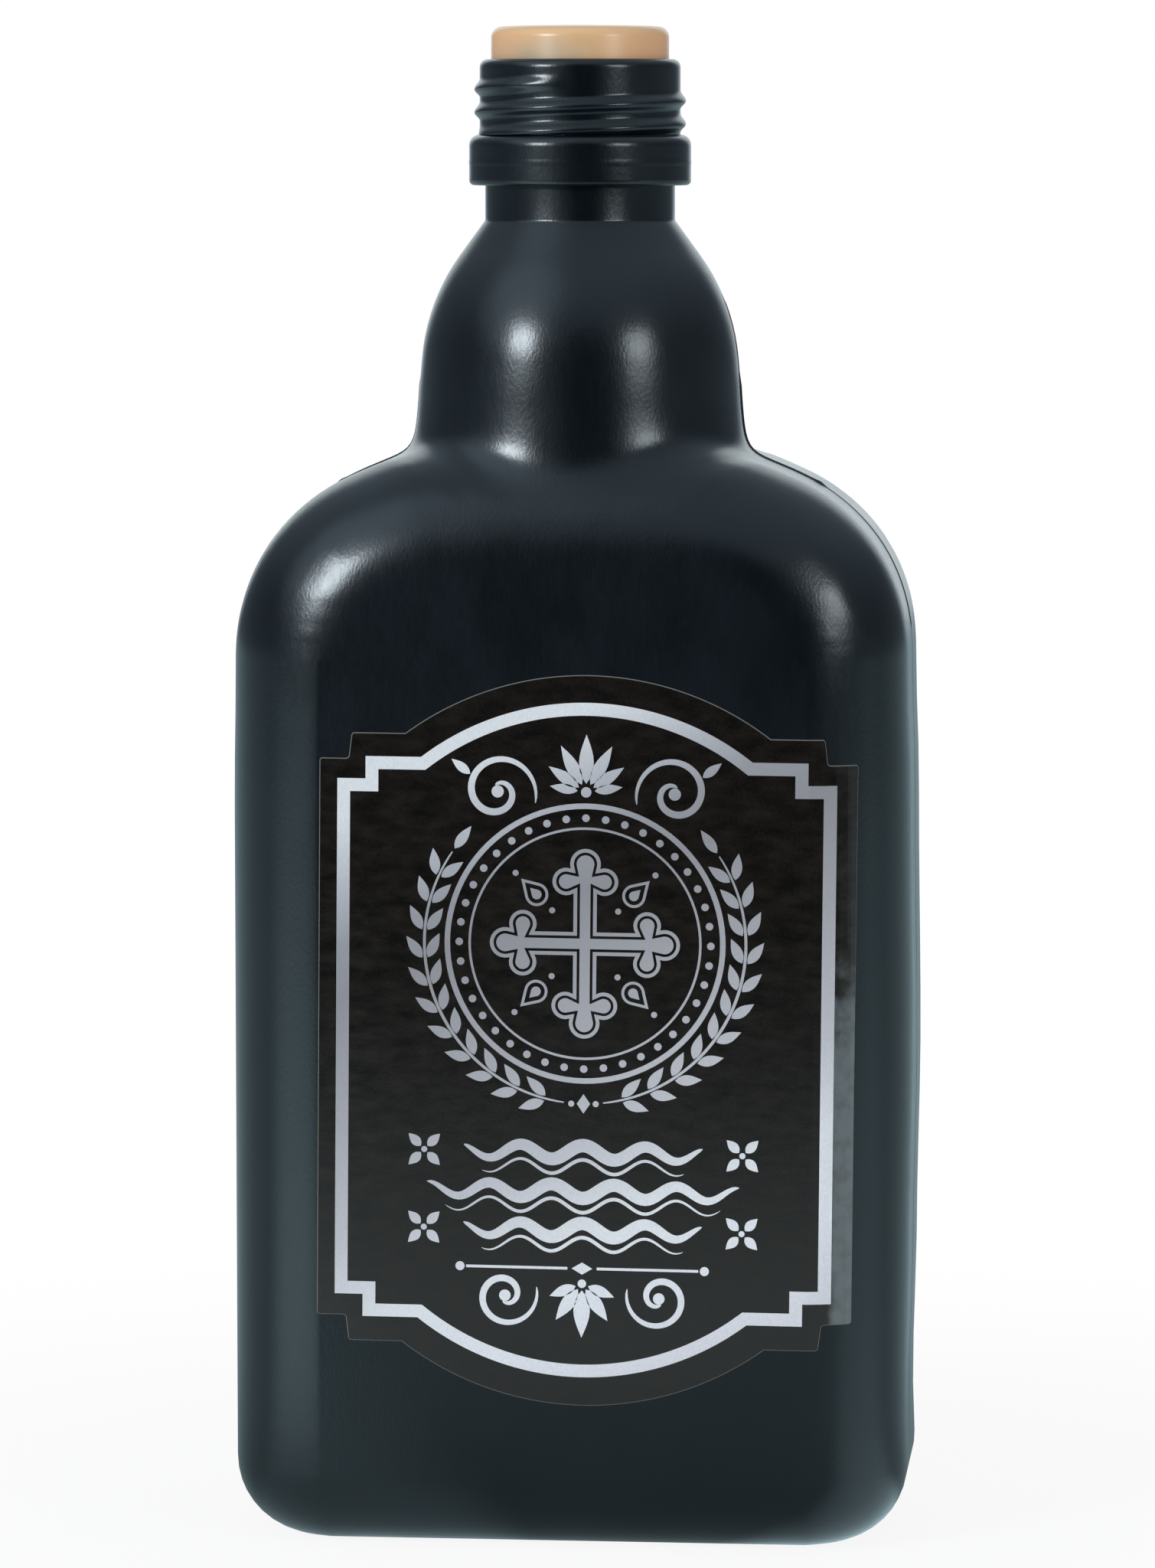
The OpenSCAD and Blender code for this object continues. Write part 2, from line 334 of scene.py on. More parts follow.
open_piece()
ring = {"r": FOOT_R, "z": crease_z}
pick(lambda v: True)
for step in range(1, FOOT_ROWS + 1):
    height = crease_z + step * FOOT_ROW_H
    pull_ring(ring, wall_r(height), height, FOOT_LEVEL if step < FOOT_ROWS else 0)
for height in DOME_RINGS:
    pull_ring(ring, wall_r(height), height)
pull_arc(ring, (ARC_X, ARC_Z), DOME_ARC_R, DOME_DRAFT, DOME_SLOPE, DOME_STEPS, first=1)
soft_z = NECK_Z - (NECK_BLEND_R - NECK_SOFT_R) * tan(DOME_SLOPE / 2)
pull_arc(ring, (NECK_R + NECK_SOFT_R, soft_z), NECK_SOFT_R, 180 + DOME_SLOPE, 180, NECK_STEPS)
pull_ring(ring, NECK_R, COLLAR_Z)
print("Dome and neck:", len(edited().faces), "faces, neck top", mm(COLLAR_Z), "mm")

# %% [markdown]
# ## Bottle: shoulder, walls and base
# The other end of the skin is the rounded rectangle of the walls. A plane with bevelled corners gives that
# ring with as many points as the circle, and bridging the two fills the shoulder with straight rows. A
# Shrinkwrap modifier then presses those rows onto the shoulder form. The strip PANEL_RIM at the end of each
# flat panel holds its slight edge.

# %% The wall's ring and the shoulder
def rounded_ring(width, depth, radius, z):
    """Adds a ring of RING points to the mesh that is being edited: a plane's outline with round corners."""
    bpy.ops.mesh.primitive_plane_add(size=1, location=(0, 0, z))
    bpy.ops.transform.resize(value=(width, depth, 1), center_override=(0, 0, z))
    bevel(radius, CORNER_CUTS, "VERTICES")
    bpy.ops.mesh.delete(type="ONLY_FACE")
    for axis, length, cuts in ((0, width, FRONT_CUTS), (1, depth, SIDE_CUTS)):
        pick(lambda e: not e.link_faces and near(e.verts[0].co.z, z)
             and near(e.calc_length(), length - 2 * radius)
             and near(e.verts[0].co[1 - axis], e.verts[1].co[1 - axis]), "EDGE")
        bpy.ops.mesh.subdivide(number_cuts=cuts - 1)


def open_edge(low, high):
    """A test for the open edges of the skin between two heights."""
    return lambda e: len(e.link_faces) < 2 and all(low < v.co.z < high for v in e.verts)


EDGE_X = BODY_W / 2 - EDGE_R


def panel(inset):
    """Angle of the slight edge where a flat panel ends, and its place, on a section drawn in by the inset."""
    angle = acos((BODY_D / 2 - inset - EDGE_Y) / (EDGE_R - inset))
    return angle, EDGE_X + (EDGE_R - inset) * sin(angle)


EDGE_BREAK, PANEL_X = panel(0)
PANEL_RIM = 0.7 * MM


def arc_point(angle, inset):
    return EDGE_X + (EDGE_R - inset) * sin(angle), EDGE_Y + (EDGE_R - inset) * cos(angle)


def wall_point(x, y):
    """Moves a point of a plain rounded ring onto the wall's section."""
    corner = BODY_W / 2 - PANEL_X
    out, across = abs(x) - PANEL_X, abs(y) - (BODY_D / 2 - corner)
    if out > -SAME and across > -SAME:
        turn = atan2(max(out, 0), max(across, 0)) / 90
        place = arc_point(EDGE_BREAK + turn * (90 - EDGE_BREAK), 0)
    elif out < 0:
        place = abs(x) * (PANEL_X - PANEL_RIM) / (PANEL_X * (1 - 2 / FRONT_CUTS)), BODY_D / 2
    else:
        place = BODY_W / 2, abs(y) * EDGE_Y / (BODY_D / 2 - corner)
    return signed(place, x, y)


def draw_in(x, y, inset):
    """Moves a point of the wall's section square to the wall, to the inside."""
    edge_angle, panel_x = panel(inset)
    if near(abs(y), BODY_D / 2):
        place = abs(x) * panel_x / PANEL_X, BODY_D / 2 - inset
    elif near(abs(x), BODY_W / 2):
        place = BODY_W / 2 - inset, abs(y)
    else:
        turn = (atan2(abs(x) - EDGE_X, abs(y) - EDGE_Y) - EDGE_BREAK) / (90 - EDGE_BREAK)
        place = arc_point(edge_angle + turn * (90 - edge_angle), inset)
    return signed(place, x, y)


SHOULDER_ROWS = 36
rounded_ring(BODY_W, BODY_D, BODY_W / 2 - PANEL_X, SIDE_H)
for v in edited().verts:
    if near(v.co.z, SIDE_H):
        v.co.x, v.co.y = wall_point(v.co.x, v.co.y)
print("Front panel ends at", mm(PANEL_X), "mm with an edge of", round(EDGE_BREAK, 1), "degrees")
print("Open edges to bridge:", pick(open_edge(SIDE_H - MM, NECK_Z), "EDGE"))
bpy.ops.mesh.bridge_edge_loops(number_cuts=SHOULDER_ROWS, interpolation="LINEAR")
close_piece()
rows = bottle.vertex_groups.new(name="shoulder rows")
rows.add([v.index for v in bottle.data.vertices if SIDE_H + SAME < v.co.z < crease_z + 2 * MM
          and plan_radius(v.co) > FOOT_R + 10 * SAME], 1, "REPLACE")
apply_modifier(bottle, "SHRINKWRAP", target=form, wrap_method="NEAREST_SURFACEPOINT", vertex_group=rows.name)
print("Shoulder:", len(bottle.data.polygons), "faces")

# %% The hollow blend at the dome's foot
BLEND_OUT, BLEND_LOW, BLEND_HIGH = 34.5 * MM, 172 * MM, 189.5 * MM
BLEND_PASSES = 20
GROOVE_R, GROOVE_HALF, GROOVE_DEPTH = 30.2 * MM, 2.6 * MM, 0.3 * MM

open_piece()
print("Blend points:", pick(lambda v: plan_radius(v.co) < BLEND_OUT and BLEND_LOW < v.co.z < BLEND_HIGH))
bpy.ops.mesh.vertices_smooth(factor=0.5, repeat=BLEND_PASSES)
for v in edited().verts:
    off = (plan_radius(v.co) - GROOVE_R) / GROOVE_HALF
    if abs(off) < 1 and v.co.z > BLEND_LOW:
        v.co.z -= GROOVE_DEPTH * (1 - off * off) ** 2 * (v.co.y / GROOVE_R) ** 2

# %% Walls and the round edge of the base
WALL_ROWS, BASE_STEPS = 16, 10
RECESS_R = 11 * MM

pick(open_edge(SIDE_H - MM, SIDE_H + MM), "EDGE")
for row in range(WALL_ROWS):
    pull((0, 0, (BASE_R - SIDE_H) / WALL_ROWS))
for step in range(BASE_STEPS):
    start, stop = 90 * step / BASE_STEPS, 90 * (step + 1) / BASE_STEPS
    pull((0, 0, BASE_R * (sin(start) - sin(stop))))
for v in edited().verts:
    below = BASE_R if near(v.co.z, 0) else BASE_R - v.co.z
    if below > SAME:
        v.co.x, v.co.y = draw_in(v.co.x, v.co.y, BASE_R - math.sqrt(BASE_R ** 2 - below ** 2))


def recess_point(x, y):
    """Moves a point of the base's edge onto the outline of the hollow."""
    edge_angle, panel_x = panel(BASE_R)
    along, across = RECESS_L / 2 - RECESS_R, RECESS_W / 2 - RECESS_R
    if near(abs(y), BODY_D / 2 - BASE_R):
        place = abs(x) * along / panel_x, RECESS_W / 2
    elif near(abs(x), BODY_W / 2 - BASE_R):
        place = RECESS_L / 2, abs(y) * across / EDGE_Y
    else:
        turn = 90 * (atan2(abs(x) - EDGE_X, abs(y) - EDGE_Y) - edge_angle) / (90 - edge_angle)
        place = along + RECESS_R * sin(turn), across + RECESS_R * cos(turn)
    return signed(place, x, y)


pick(open_edge(-MM, MM), "EDGE")
pull()
for v in edited().verts:
    if v.select:
        v.co.x, v.co.y = recess_point(v.co.x, v.co.y)
print("Skin:", len(edited().faces), "faces")

# %% The soft edge between the front and the shoulder
SOFT_DEPTH, SOFT_STARTS = 3 * MM, (0.5 * MM, 2.5 * MM, 5 * MM, 8 * MM, 12 * MM)

for start in SOFT_STARTS:
    softened = pick(lambda v: v.co.z > SIDE_H + start and abs(v.co.y) > BODY_D / 2 - SOFT_DEPTH)
    bpy.ops.mesh.vertices_smooth(factor=0.5, repeat=2)
close_piece()
print("Soft edge:", softened, "points at the top")

# %% The sides' swell
# Each row has a height, and how far the left and the right side stand out there, in mm.
SWELL = ((-1, 0, 0), (8, 0, -0.15), (23, 0, -0.55), (50, 0, 0), (80, 0, 0.45), (122, 0, 0), (146, -0.3, -0.6),
         (168, -0.1, -0.1), (182, 0, 0), (300, 0, 0))


def swell(z, side):
    """How far a side stands out of its plane at a height, in mm: side 1 is the left one, 2 the right one."""
    for below, above in zip(SWELL, SWELL[1:]):
        if below[0] <= z < above[0]:
            part = (z - below[0]) / (above[0] - below[0])
            return below[side] + (above[side] - below[side]) * part * part * (3 - 2 * part)
    return 0


for v in bottle.data.vertices:
    v.co.x *= 1 + swell(v.co.z / MM, 2 if v.co.x > 0 else 1) * MM / (BODY_W / 2)
width = [v.co.x / MM for v in bottle.data.vertices]
print("Width now from", round(min(width), 2), "to", round(max(width), 2), "mm")

# %% The parting line
# Each row of SEAM_RISE has two heights and the rise between them, in mm.
SEAM_W = 0.3 * MM
SEAM_RISE = ((16, 150, 0.06), (150, 174, 0.14), (174, 192, 0.26), (192, 205, 0.12))

open_piece()
face_outwards()
seam = pick(lambda e: all(near(v.co.y, 0, 10 * SAME) and v.co.z > 2 * MM for v in e.verts), "EDGE")
bevel(SEAM_W, 2)
for low, high, rise in SEAM_RISE:
    pick(lambda v: near(v.co.y, 0, 10 * SAME) and low * MM < v.co.z < high * MM)
    bpy.ops.transform.shrink_fatten(value=rise * MM)
close_piece()
print("Parting line:", seam, "edges")

# %% [markdown]
# ## Bottle: wall, base hollow and neck finish
# Solidify gives the skin its wall, 1.5 mm to the inside. The two open ends are then closed as a mould would:
# the base is pushed up into a shallow hollow with its pinch-off ridge, and the neck goes on up through the
# collar band, the threaded part and the lip, and back down inside to the ledge that the stopper stands above.

# %% Wall and base hollow
RECESS_STEPS = ((0.3, 0.1), (0.3, 0.3), (0.35, 0.45), (0.35, 0.4), (0.4, 0.25), (0.6, 0.1))
PINCH_W, PINCH_H, PINCH_TAPER = 1.2 * MM, 0.5 * MM, (0.97, 0.4, 1)
EDGE_SLACK, ROOF_SLACK = 0.2 * MM, 0.02 * MM


def hollow_roof(f):
    """A test for the faces at the top of the base's hollow."""
    return near(f.calc_center_median().z, RECESS_DEPTH, ROOF_SLACK) and f.normal.z < -0.5


apply_modifier(bottle, "SOLIDIFY", thickness=WALL, offset=-1, use_rim=False, use_even_offset=True)
open_piece()
pick(open_edge(WALL - EDGE_SLACK, WALL + EDGE_SLACK), "EDGE")
pull((0, 0, RECESS_DEPTH))
bpy.ops.mesh.edge_face_add()
pick(open_edge(-EDGE_SLACK, EDGE_SLACK), "EDGE")
bpy.ops.mesh.edge_face_add()
for inward, up in RECESS_STEPS:
    bpy.ops.mesh.inset(thickness=inward * MM, depth=0)
    move(0, 0, up * MM)
for side in (-1, 1):
    bpy.ops.mesh.bisect(plane_co=(0, side * PINCH_W / 2, 0), plane_no=(0, 1, 0))
    pick(hollow_roof, "FACE")
pick(lambda f: hollow_roof(f) and abs(f.calc_center_median().y) < PINCH_W / 4, "FACE")
pull((0, 0, -PINCH_H))
bpy.ops.transform.resize(value=PINCH_TAPER, center_override=(0, 0, RECESS_DEPTH - PINCH_H))
print("Base hollow:", mm(RECESS_DEPTH), "mm deep")

# %% Collar, threaded part, lip and mouth
# Rings at the distance STAY from each edge of the collar band keep its flat parts flat in the shading.
LEDGE_Z = COLLAR_Z + WALL
UNDER_R, BAND_LINE_Z, BAND_LINE_H, BAND_LINE_W = 0.8 * MM, COLLAR_Z + 3.8 * MM, 0.05 * MM, 0.45 * MM
THREAD_ROWS, ARC_STEPS, MOUTH_EDGE, STAY = 52, 6, 0.35 * MM, 0.25 * MM
NECK_SLACK = 0.3 * MM

pick(lambda e: len(e.link_faces) == 1
     and all(v.co.z > COLLAR_Z - MM and plan_radius(v.co) > NECK_R - NECK_SLACK for v in e.verts), "EDGE")
ring = {"r": NECK_R, "z": COLLAR_Z}
pull_arc(ring, (COLLAR_R - UNDER_R, COLLAR_Z + UNDER_R), UNDER_R, -90, 0, ARC_STEPS)
pull_ring(ring, COLLAR_R, COLLAR_Z + UNDER_R + STAY)
for offset, rise in ((-BAND_LINE_W - STAY, 0), (-BAND_LINE_W, 0), (0, BAND_LINE_H), (BAND_LINE_W, 0),
                     (BAND_LINE_W + STAY, 0)):
    pull_ring(ring, COLLAR_R + rise, BAND_LINE_Z + offset)
pull_ring(ring, COLLAR_R, COLLAR_TOP - COLLAR_EDGE_R - STAY)
pull_arc(ring, (COLLAR_R - COLLAR_EDGE_R, COLLAR_TOP - COLLAR_EDGE_R), COLLAR_EDGE_R, 0, 90, ARC_STEPS)
thread_foot, thread_head = COLLAR_TOP, LIP_Z - LIP_R
for row in range(THREAD_ROWS + 1):
    pull_ring(ring, FINISH_R, thread_foot + (thread_head - thread_foot) * row / THREAD_ROWS)
pull_arc(ring, (FINISH_R - LIP_R, thread_head), LIP_R, 0, 90, ARC_STEPS, first=1)
pull_ring(ring, MOUTH_R + MOUTH_EDGE, LIP_Z)
pull_ring(ring, MOUTH_R, LIP_Z - MOUTH_EDGE)
pull_ring(ring, MOUTH_R, LEDGE_Z)
pick(lambda e: len(e.link_faces) == 1, "EDGE")
bpy.ops.mesh.bridge_edge_loops()
select_all()
bpy.ops.mesh.remove_doubles(threshold=SAME)
close_piece()
print("Neck finish: lip at", mm(LIP_Z), "mm,", len(bottle.data.polygons), "faces")

# %% The thread's ridge, pushed out of the neck
RIDGE_H, RIDGE_BELOW, RIDGE_ABOVE = THREAD_R - FINISH_R, 1.35 * MM, 1.75 * MM
THREAD_START, THREAD_DROP = 180, 0.2 * MM
BOTTLE_SMOOTH = 38


def ridge(angle, z):
    """Height of the thread over the neck at an angle and a height: one helix, steeper below than above."""
    best = 0
    for turn in range(4):
        run = (angle - THREAD_START) % 360 + 360 * turn
        end = 360 * THREAD_TURNS
        if run > end:
            continue
        gap = z - (COLLAR_TOP - THREAD_DROP + THREAD_PITCH * run / 360)
        reach = RIDGE_ABOVE if gap > 0 else RIDGE_BELOW
        if abs(gap) < reach:
            fade = min(1, run / THREAD_FADE, (end - run) / THREAD_FADE)
            best = max(best, fade * RIDGE_H * (1 + math.cos(math.pi * gap / reach)) / 2)
    return best


raised = 0
for v in bottle.data.vertices:
    r = plan_radius(v.co)
    if thread_foot - SAME < v.co.z < LIP_Z and r > FINISH_R - LIP_R:
        out = ridge(atan2(v.co.y, v.co.x), v.co.z)
        v.co.x, v.co.y = v.co.x * (r + out) / r, v.co.y * (r + out) / r
        raised += out > 0
bpy.ops.object.shade_smooth_by_angle(angle=math.radians(BOTTLE_SMOOTH))
bpy.data.objects.remove(form)
triangles = sum(len(p.vertices) - 2 for p in bottle.data.polygons)
print("Thread: raised", raised, "points; the bottle has", triangles, "triangles")

# %% [markdown]
# ## Stopper
# A moulded plug, hollow from below like most of its kind, which stands 5.6 mm out of the mouth and has a soft
# rim. It could be lathed from a curve with a Screw modifier, but pulling rings of one circle shows the same
# shape step by step: ceiling of the hollow, down its wall, round the foot, up outside, and over the rim.

# %% Stopper by rings
STOPPER_R, STOPPER_FOOT, STOPPER_TOP = 14.70 * MM, LIP_Z - 16 * MM, LIP_Z + 5.6 * MM
PLUG_WALL, PLUG_TOP, PLUG_EDGE_R, FOOT_EDGE, PLUG_RING = 2 * MM, 2.4 * MM, 1.8 * MM, 0.4 * MM, 128
CEILING_R, CEILING_SOFT = MM, 0.3 * MM
RIM_STEPS, RIM_TURN, CROWN, CROWN_RINGS = 10, 84, 0.25 * MM, (0.8, 0.55, 0.3)
PLUG_SMOOTH = 40

hollow_r, ceiling = STOPPER_R - PLUG_WALL, STOPPER_TOP - PLUG_TOP
bpy.ops.mesh.primitive_circle_add(vertices=PLUG_RING, radius=hollow_r - CEILING_R, fill_type="NGON",
                                  location=(0, 0, 0))
stopper = new_piece("stopper_plug")
move(0, 0, ceiling)
ring = {"r": hollow_r - CEILING_R, "z": ceiling}
pick(lambda e: True, "EDGE")
for radius, z in ((hollow_r - CEILING_SOFT, ceiling - CEILING_SOFT), (hollow_r, ceiling - CEILING_R),
                  (hollow_r, STOPPER_FOOT + FOOT_EDGE), (hollow_r + FOOT_EDGE, STOPPER_FOOT),
                  (STOPPER_R - FOOT_EDGE, STOPPER_FOOT), (STOPPER_R, STOPPER_FOOT + FOOT_EDGE)):
    pull_ring(ring, radius, z)
rim_z = STOPPER_TOP - CROWN - PLUG_EDGE_R * sin(RIM_TURN)
pull_arc(ring, (STOPPER_R - PLUG_EDGE_R, rim_z), PLUG_EDGE_R, 0, RIM_TURN, RIM_STEPS)
for part in CROWN_RINGS:
    pull_ring(ring, STOPPER_R * part, STOPPER_TOP - CROWN * part * part)
bpy.ops.mesh.edge_face_add()
face_outwards()
close_piece()
bpy.ops.object.shade_smooth_by_angle(angle=math.radians(PLUG_SMOOTH))
print("Stopper:", len(stopper.data.polygons), "faces")

# %% [markdown]
# ## Label
# A die-cut paper sticker with stepped corners and an arch at its head and foot. A quarter of its outline is
# drawn by pulling one point along and spinning it round the arch's centre, and a Mirror modifier gives the
# rest. The sheet stands in front of the bottle at first and a Shrinkwrap modifier presses it straight back
# onto the wall, so its right margin bends round the corner as the real one does. LABEL_T is a little thinner
# than the solid's.

# %% Label sheet
LABEL_X, LABEL_Z, LABEL_TURN, LABEL_T = 3.85 * MM, 84.7 * MM, 0.5, 0.18 * MM
LABEL_SIZES = {"width": 87.4 * MM, "side_h": 91.5 * MM, "step_w": 5 * MM, "step_h": 4.2 * MM,
               "flat_w": 9 * MM, "arch_h": 9.9 * MM, "lean": 0.5 * MM, "soft": 0.45 * MM}
SHEET_Y, LABEL_GAP, CUT_BEVEL = -45 * MM, 0.01 * MM, 0.15 * MM
BEND_STEP, BEND_STEPS, ARCH_STEPS, SOFT_STEPS = 0.6 * MM, 14, 26, 4


def bracket_sheet(name, width, side_h, step_w, step_h, flat_w, arch_h, lean=0, soft=0):
    """A flat sheet with stepped corners and two arches. lean tilts the steps, soft rounds their corners."""
    bpy.ops.mesh.primitive_plane_add(size=width, location=(0, 0, 0))
    sheet = new_piece(name)
    pick(lambda v: v.co.x < 0 or v.co.y < 0)
    bpy.ops.mesh.delete(type="VERT")
    pick(lambda v: True)
    move(0, -width / 2, 0)
    for across, up in ((0, side_h / 2), (lean / 2 - step_w, 0), (-lean, step_h), (lean / 2 - flat_w, 0)):
        pull((across, 0, up))
    chord = width / 2 - step_w - flat_w
    arch_r = (chord ** 2 + arch_h ** 2) / (2 * arch_h)
    bpy.ops.mesh.spin(steps=ARCH_STEPS, angle=math.asin(chord / arch_r), axis=(0, 1, 0),
                      center=(0, 0, side_h / 2 + step_h + arch_h - arch_r))
    close_piece()
    apply_modifier(sheet, "MIRROR", use_axis=(True, False, True), use_mirror_merge=True, merge_threshold=SAME)
    open_piece()
    select_all()
    bpy.ops.mesh.edge_face_add()
    if edited().faces[:][0].normal.y > 0:
        bpy.ops.mesh.flip_normals()
    if soft:
        pick(lambda v: abs(v.co.x) > chord + MM and abs(v.co.z) > MM)
        bevel(soft, SOFT_STEPS, "VERTICES")
    return sheet


def place_sheet(sheet):
    """Turns the open sheet as the label sits, moves it in front of the bottle, and cuts it where it bends."""
    select_all()
    bpy.ops.transform.rotate(value=math.radians(-LABEL_TURN), orient_axis="Y", center_override=(0, 0, 0))
    move(LABEL_X, SHEET_Y, LABEL_Z)
    cuts = [((PANEL_X - PANEL_RIM + step * BEND_STEP, 0, 0), (1, 0, 0)) for step in range(BEND_STEPS)]
    cuts += [((0, 0, SIDE_H + row * (BASE_R - SIDE_H) / WALL_ROWS), (0, 0, 1)) for row in range(WALL_ROWS)]
    for place, across in cuts:
        select_all()
        bpy.ops.mesh.bisect(plane_co=place, plane_no=across, threshold=FINE)
    close_piece()
    print(sheet.name, "is cut into", len(sheet.data.polygons), "faces")


def press_back(sheet, target, gap):
    """Moves the sheet straight back until it lies on the target, with a gap in front of it."""
    apply_modifier(sheet, "SHRINKWRAP", target=target, wrap_method="PROJECT", use_project_y=True,
                   use_negative_direction=False, use_positive_direction=True, offset=gap)


label = bracket_sheet("front_label_paper", **LABEL_SIZES)
place_sheet(label)
press_back(label, bottle, LABEL_GAP)
# The first material slot is the printed face and the second is the cut edge. Both are filled in later.
label.data.materials.append(None)
label.data.materials.append(None)
apply_modifier(label, "SOLIDIFY", thickness=LABEL_T, offset=1, use_even_offset=True, material_offset_rim=1)
open_piece()
pick(lambda e: len(e.link_faces) == 2 and any(f.material_index == 0 and f.normal.y < 0 for f in e.link_faces)
     and any(f.material_index == 1 for f in e.link_faces), "EDGE")
bevel(CUT_BEVEL, 1, material=1)
close_piece()
for end in (min, max):
    corner = [mm(end(v.co[i] for v in label.data.vertices)) for i in range(3)]
    print("Label's", end.__name__, "in mm:", corner)

# %% [markdown]
# ## Print
# The silver print is a thin raised sheet of its own, so that its edges stay sharp at any size. It starts with
# the frame line, the label's own outline drawn in. The ornament inside it is plain stock: a budded cross in a
# beaded medallion with four drops, two laurel sprigs, wavy bars for water, rosettes and scrolls. Each shape
# is a filled circle whose points are set on an outline; a stroke is an outline too, on both sides of a path.

# %% Frame line
FRAME_SIZES = {"width": 81.2 * MM, "side_h": 84.7 * MM, "step_w": 4.6 * MM, "step_h": 3.65 * MM,
               "flat_w": 9.05 * MM, "arch_h": 9.25 * MM}
FRAME_LINE, INK_T = 2.1 * MM, 0.03 * MM

ink = bracket_sheet("label_silver_print", **FRAME_SIZES)
bpy.ops.mesh.select_mode(type="FACE")
select_all()
bpy.ops.mesh.inset(thickness=FRAME_LINE, depth=0)
bpy.ops.mesh.delete(type="ONLY_FACE")
bpy.ops.mesh.select_mode(type="VERT")
print("Frame line:", len(edited().faces), "faces")

# %% Drawing helpers: places in mm from the label's middle, u to the right and w up
SCROLL_FROM, SCROLL_TO, SCROLL_STEPS, DOT_POINTS = 196, -290, 60, 24


def shape(outline):
    """Adds one flat shape to the print, from an anticlockwise outline, and selects it."""
    bpy.ops.mesh.primitive_circle_add(vertices=len(outline), fill_type="NGON", location=(0, 0, 0))
    mesh = edited()
    for v, (u, w) in zip([v for v in mesh.verts if v.select], outline):
        v.co = (u * MM, 0, w * MM)
    mesh.normal_update()
    bmesh.update_edit_mesh(ink.data)


def flipped(points):
    """The mirror image left for right, still anticlockwise."""
    return [(-u, w) for u, w in points][::-1]


def both(outline):
    """A shape and its mirror image."""
    shape(outline)
    shape(flipped(outline))


def flat_ring(centre, inner, outer, points=96):
    """A circle whose edge is pulled in."""
    middle = (centre[0] * MM, 0, centre[1] * MM)
    bpy.ops.mesh.primitive_circle_add(vertices=points, radius=outer * MM, location=middle,
                                      rotation=(math.radians(90), 0, 0))
    pull()
    bpy.ops.transform.resize(value=[inner / outer] * 3, center_override=middle)


def out_from(centre, distance, angle):
    return centre[0] + distance * cos(angle), centre[1] + distance * sin(angle)


def bow(centre, radius, start, stop, steps, end_radius=None):
    """Points along an arc, or along a spiral when an end radius is given."""
    shrink = 0 if end_radius is None else end_radius - radius
    return [out_from(centre, radius + shrink * i / steps, start + (stop - start) * i / steps)
            for i in range(steps + 1)]


def scroll(centre, radius, eye):
    """A spiral path of one and a third turns that winds in to its eye."""
    return bow(centre, radius, SCROLL_FROM, SCROLL_TO, SCROLL_STEPS, eye)


def dot(centre, radius):
    shape(bow(centre, radius, 0, 360 - 360 / DOT_POINTS, DOT_POINTS - 1))


def dots(centre, radius):
    """A dot at the right and one at the left."""
    for side in (-1, 1):
        dot((side * centre[0], centre[1]), radius)


def diamond(centre, across, up):
    u, w = centre
    shape([(u + across, w), (u, w + up), (u - across, w), (u, w - up)])


def turned(points, angle, centre):
    """Points turned about the origin and then moved to a centre."""
    return [(centre[0] + u * cos(angle) - w * sin(angle), centre[1] + u * sin(angle) + w * cos(angle))
            for u, w in points]


def stroke(path, width, end=0.12):
    """Outline of a line along a path, full in the middle and fine at both ends."""
    left, right = [], []
    for i, (u, w) in enumerate(path):
        before, after = path[max(i - 1, 0)], path[min(i + 1, len(path) - 1)]
        du, dw = after[0] - before[0], after[1] - before[1]
        full = end + (1 - end) * sin(180 * i / (len(path) - 1)) ** 0.5
        half = width * full / 2 / math.hypot(du, dw)
        left.append((u - dw * half, w + du * half))
        right.append((u + dw * half, w - du * half))
    return right + left[::-1]


def leaf(length, width, steps=9):
    """A pointed leaf from the origin to the right, widest before its middle."""
    edge = [(length * i / steps, width / 2 * sin(180 * (i / steps) ** 0.8)) for i in range(1, steps)]
    return [(0, 0)] + [(u, -h) for u, h in edge] + [(length, 0)] + edge[::-1]


def petals(foot, out, leaves):
    """Leaves that spread from a foot, each with its mirror image, apart from an upright one."""
    for angle, length, width in leaves:
        petal = turned(leaf(length, width), angle, out_from(foot, out, angle))
        shape(petal)
        if abs(angle) != 90:
            shape(flipped(petal))


def drop(radius, length):
    """A drop round the origin with its point to the right."""
    lean = acos(radius / length)
    return bow((0, 0), radius, lean, 360 - lean, steps=28) + [(length, 0)]


print("A leaf has", len(leaf(1, 1)), "points, a drop", len(drop(1, 2)))

# %% Medallion: rings, beads, budded cross and drops
MEDAL, MEDAL_R = (0, 16), 22.9
MEDAL_RINGS = ((MEDAL_R - 0.9, MEDAL_R), (MEDAL_R - 4.3, MEDAL_R - 3.9))
BEADS, BEAD_R, BEAD_OUT = 40, 0.62, MEDAL_R - 2.4
ARM_HALF, ARM_REACH, LOBE_R = 1.9, 13.0, 2.5
SIDE_LOBE, LOBE_APART, LOBE_LOW = 0.9, 1.25, 1.15
CROSS_RIM, CROSS_GAP = 0.6, 0.45
DROP_R, DROP_L, DROP_OUT, DROP_LINE, DROP_CORE = 1.9, 3.6, 11.2, 0.45, 0.42
DROP_DOTS, SMALL_DOT = (DROP_OUT - 3.6, DROP_OUT + 4.9), 0.5


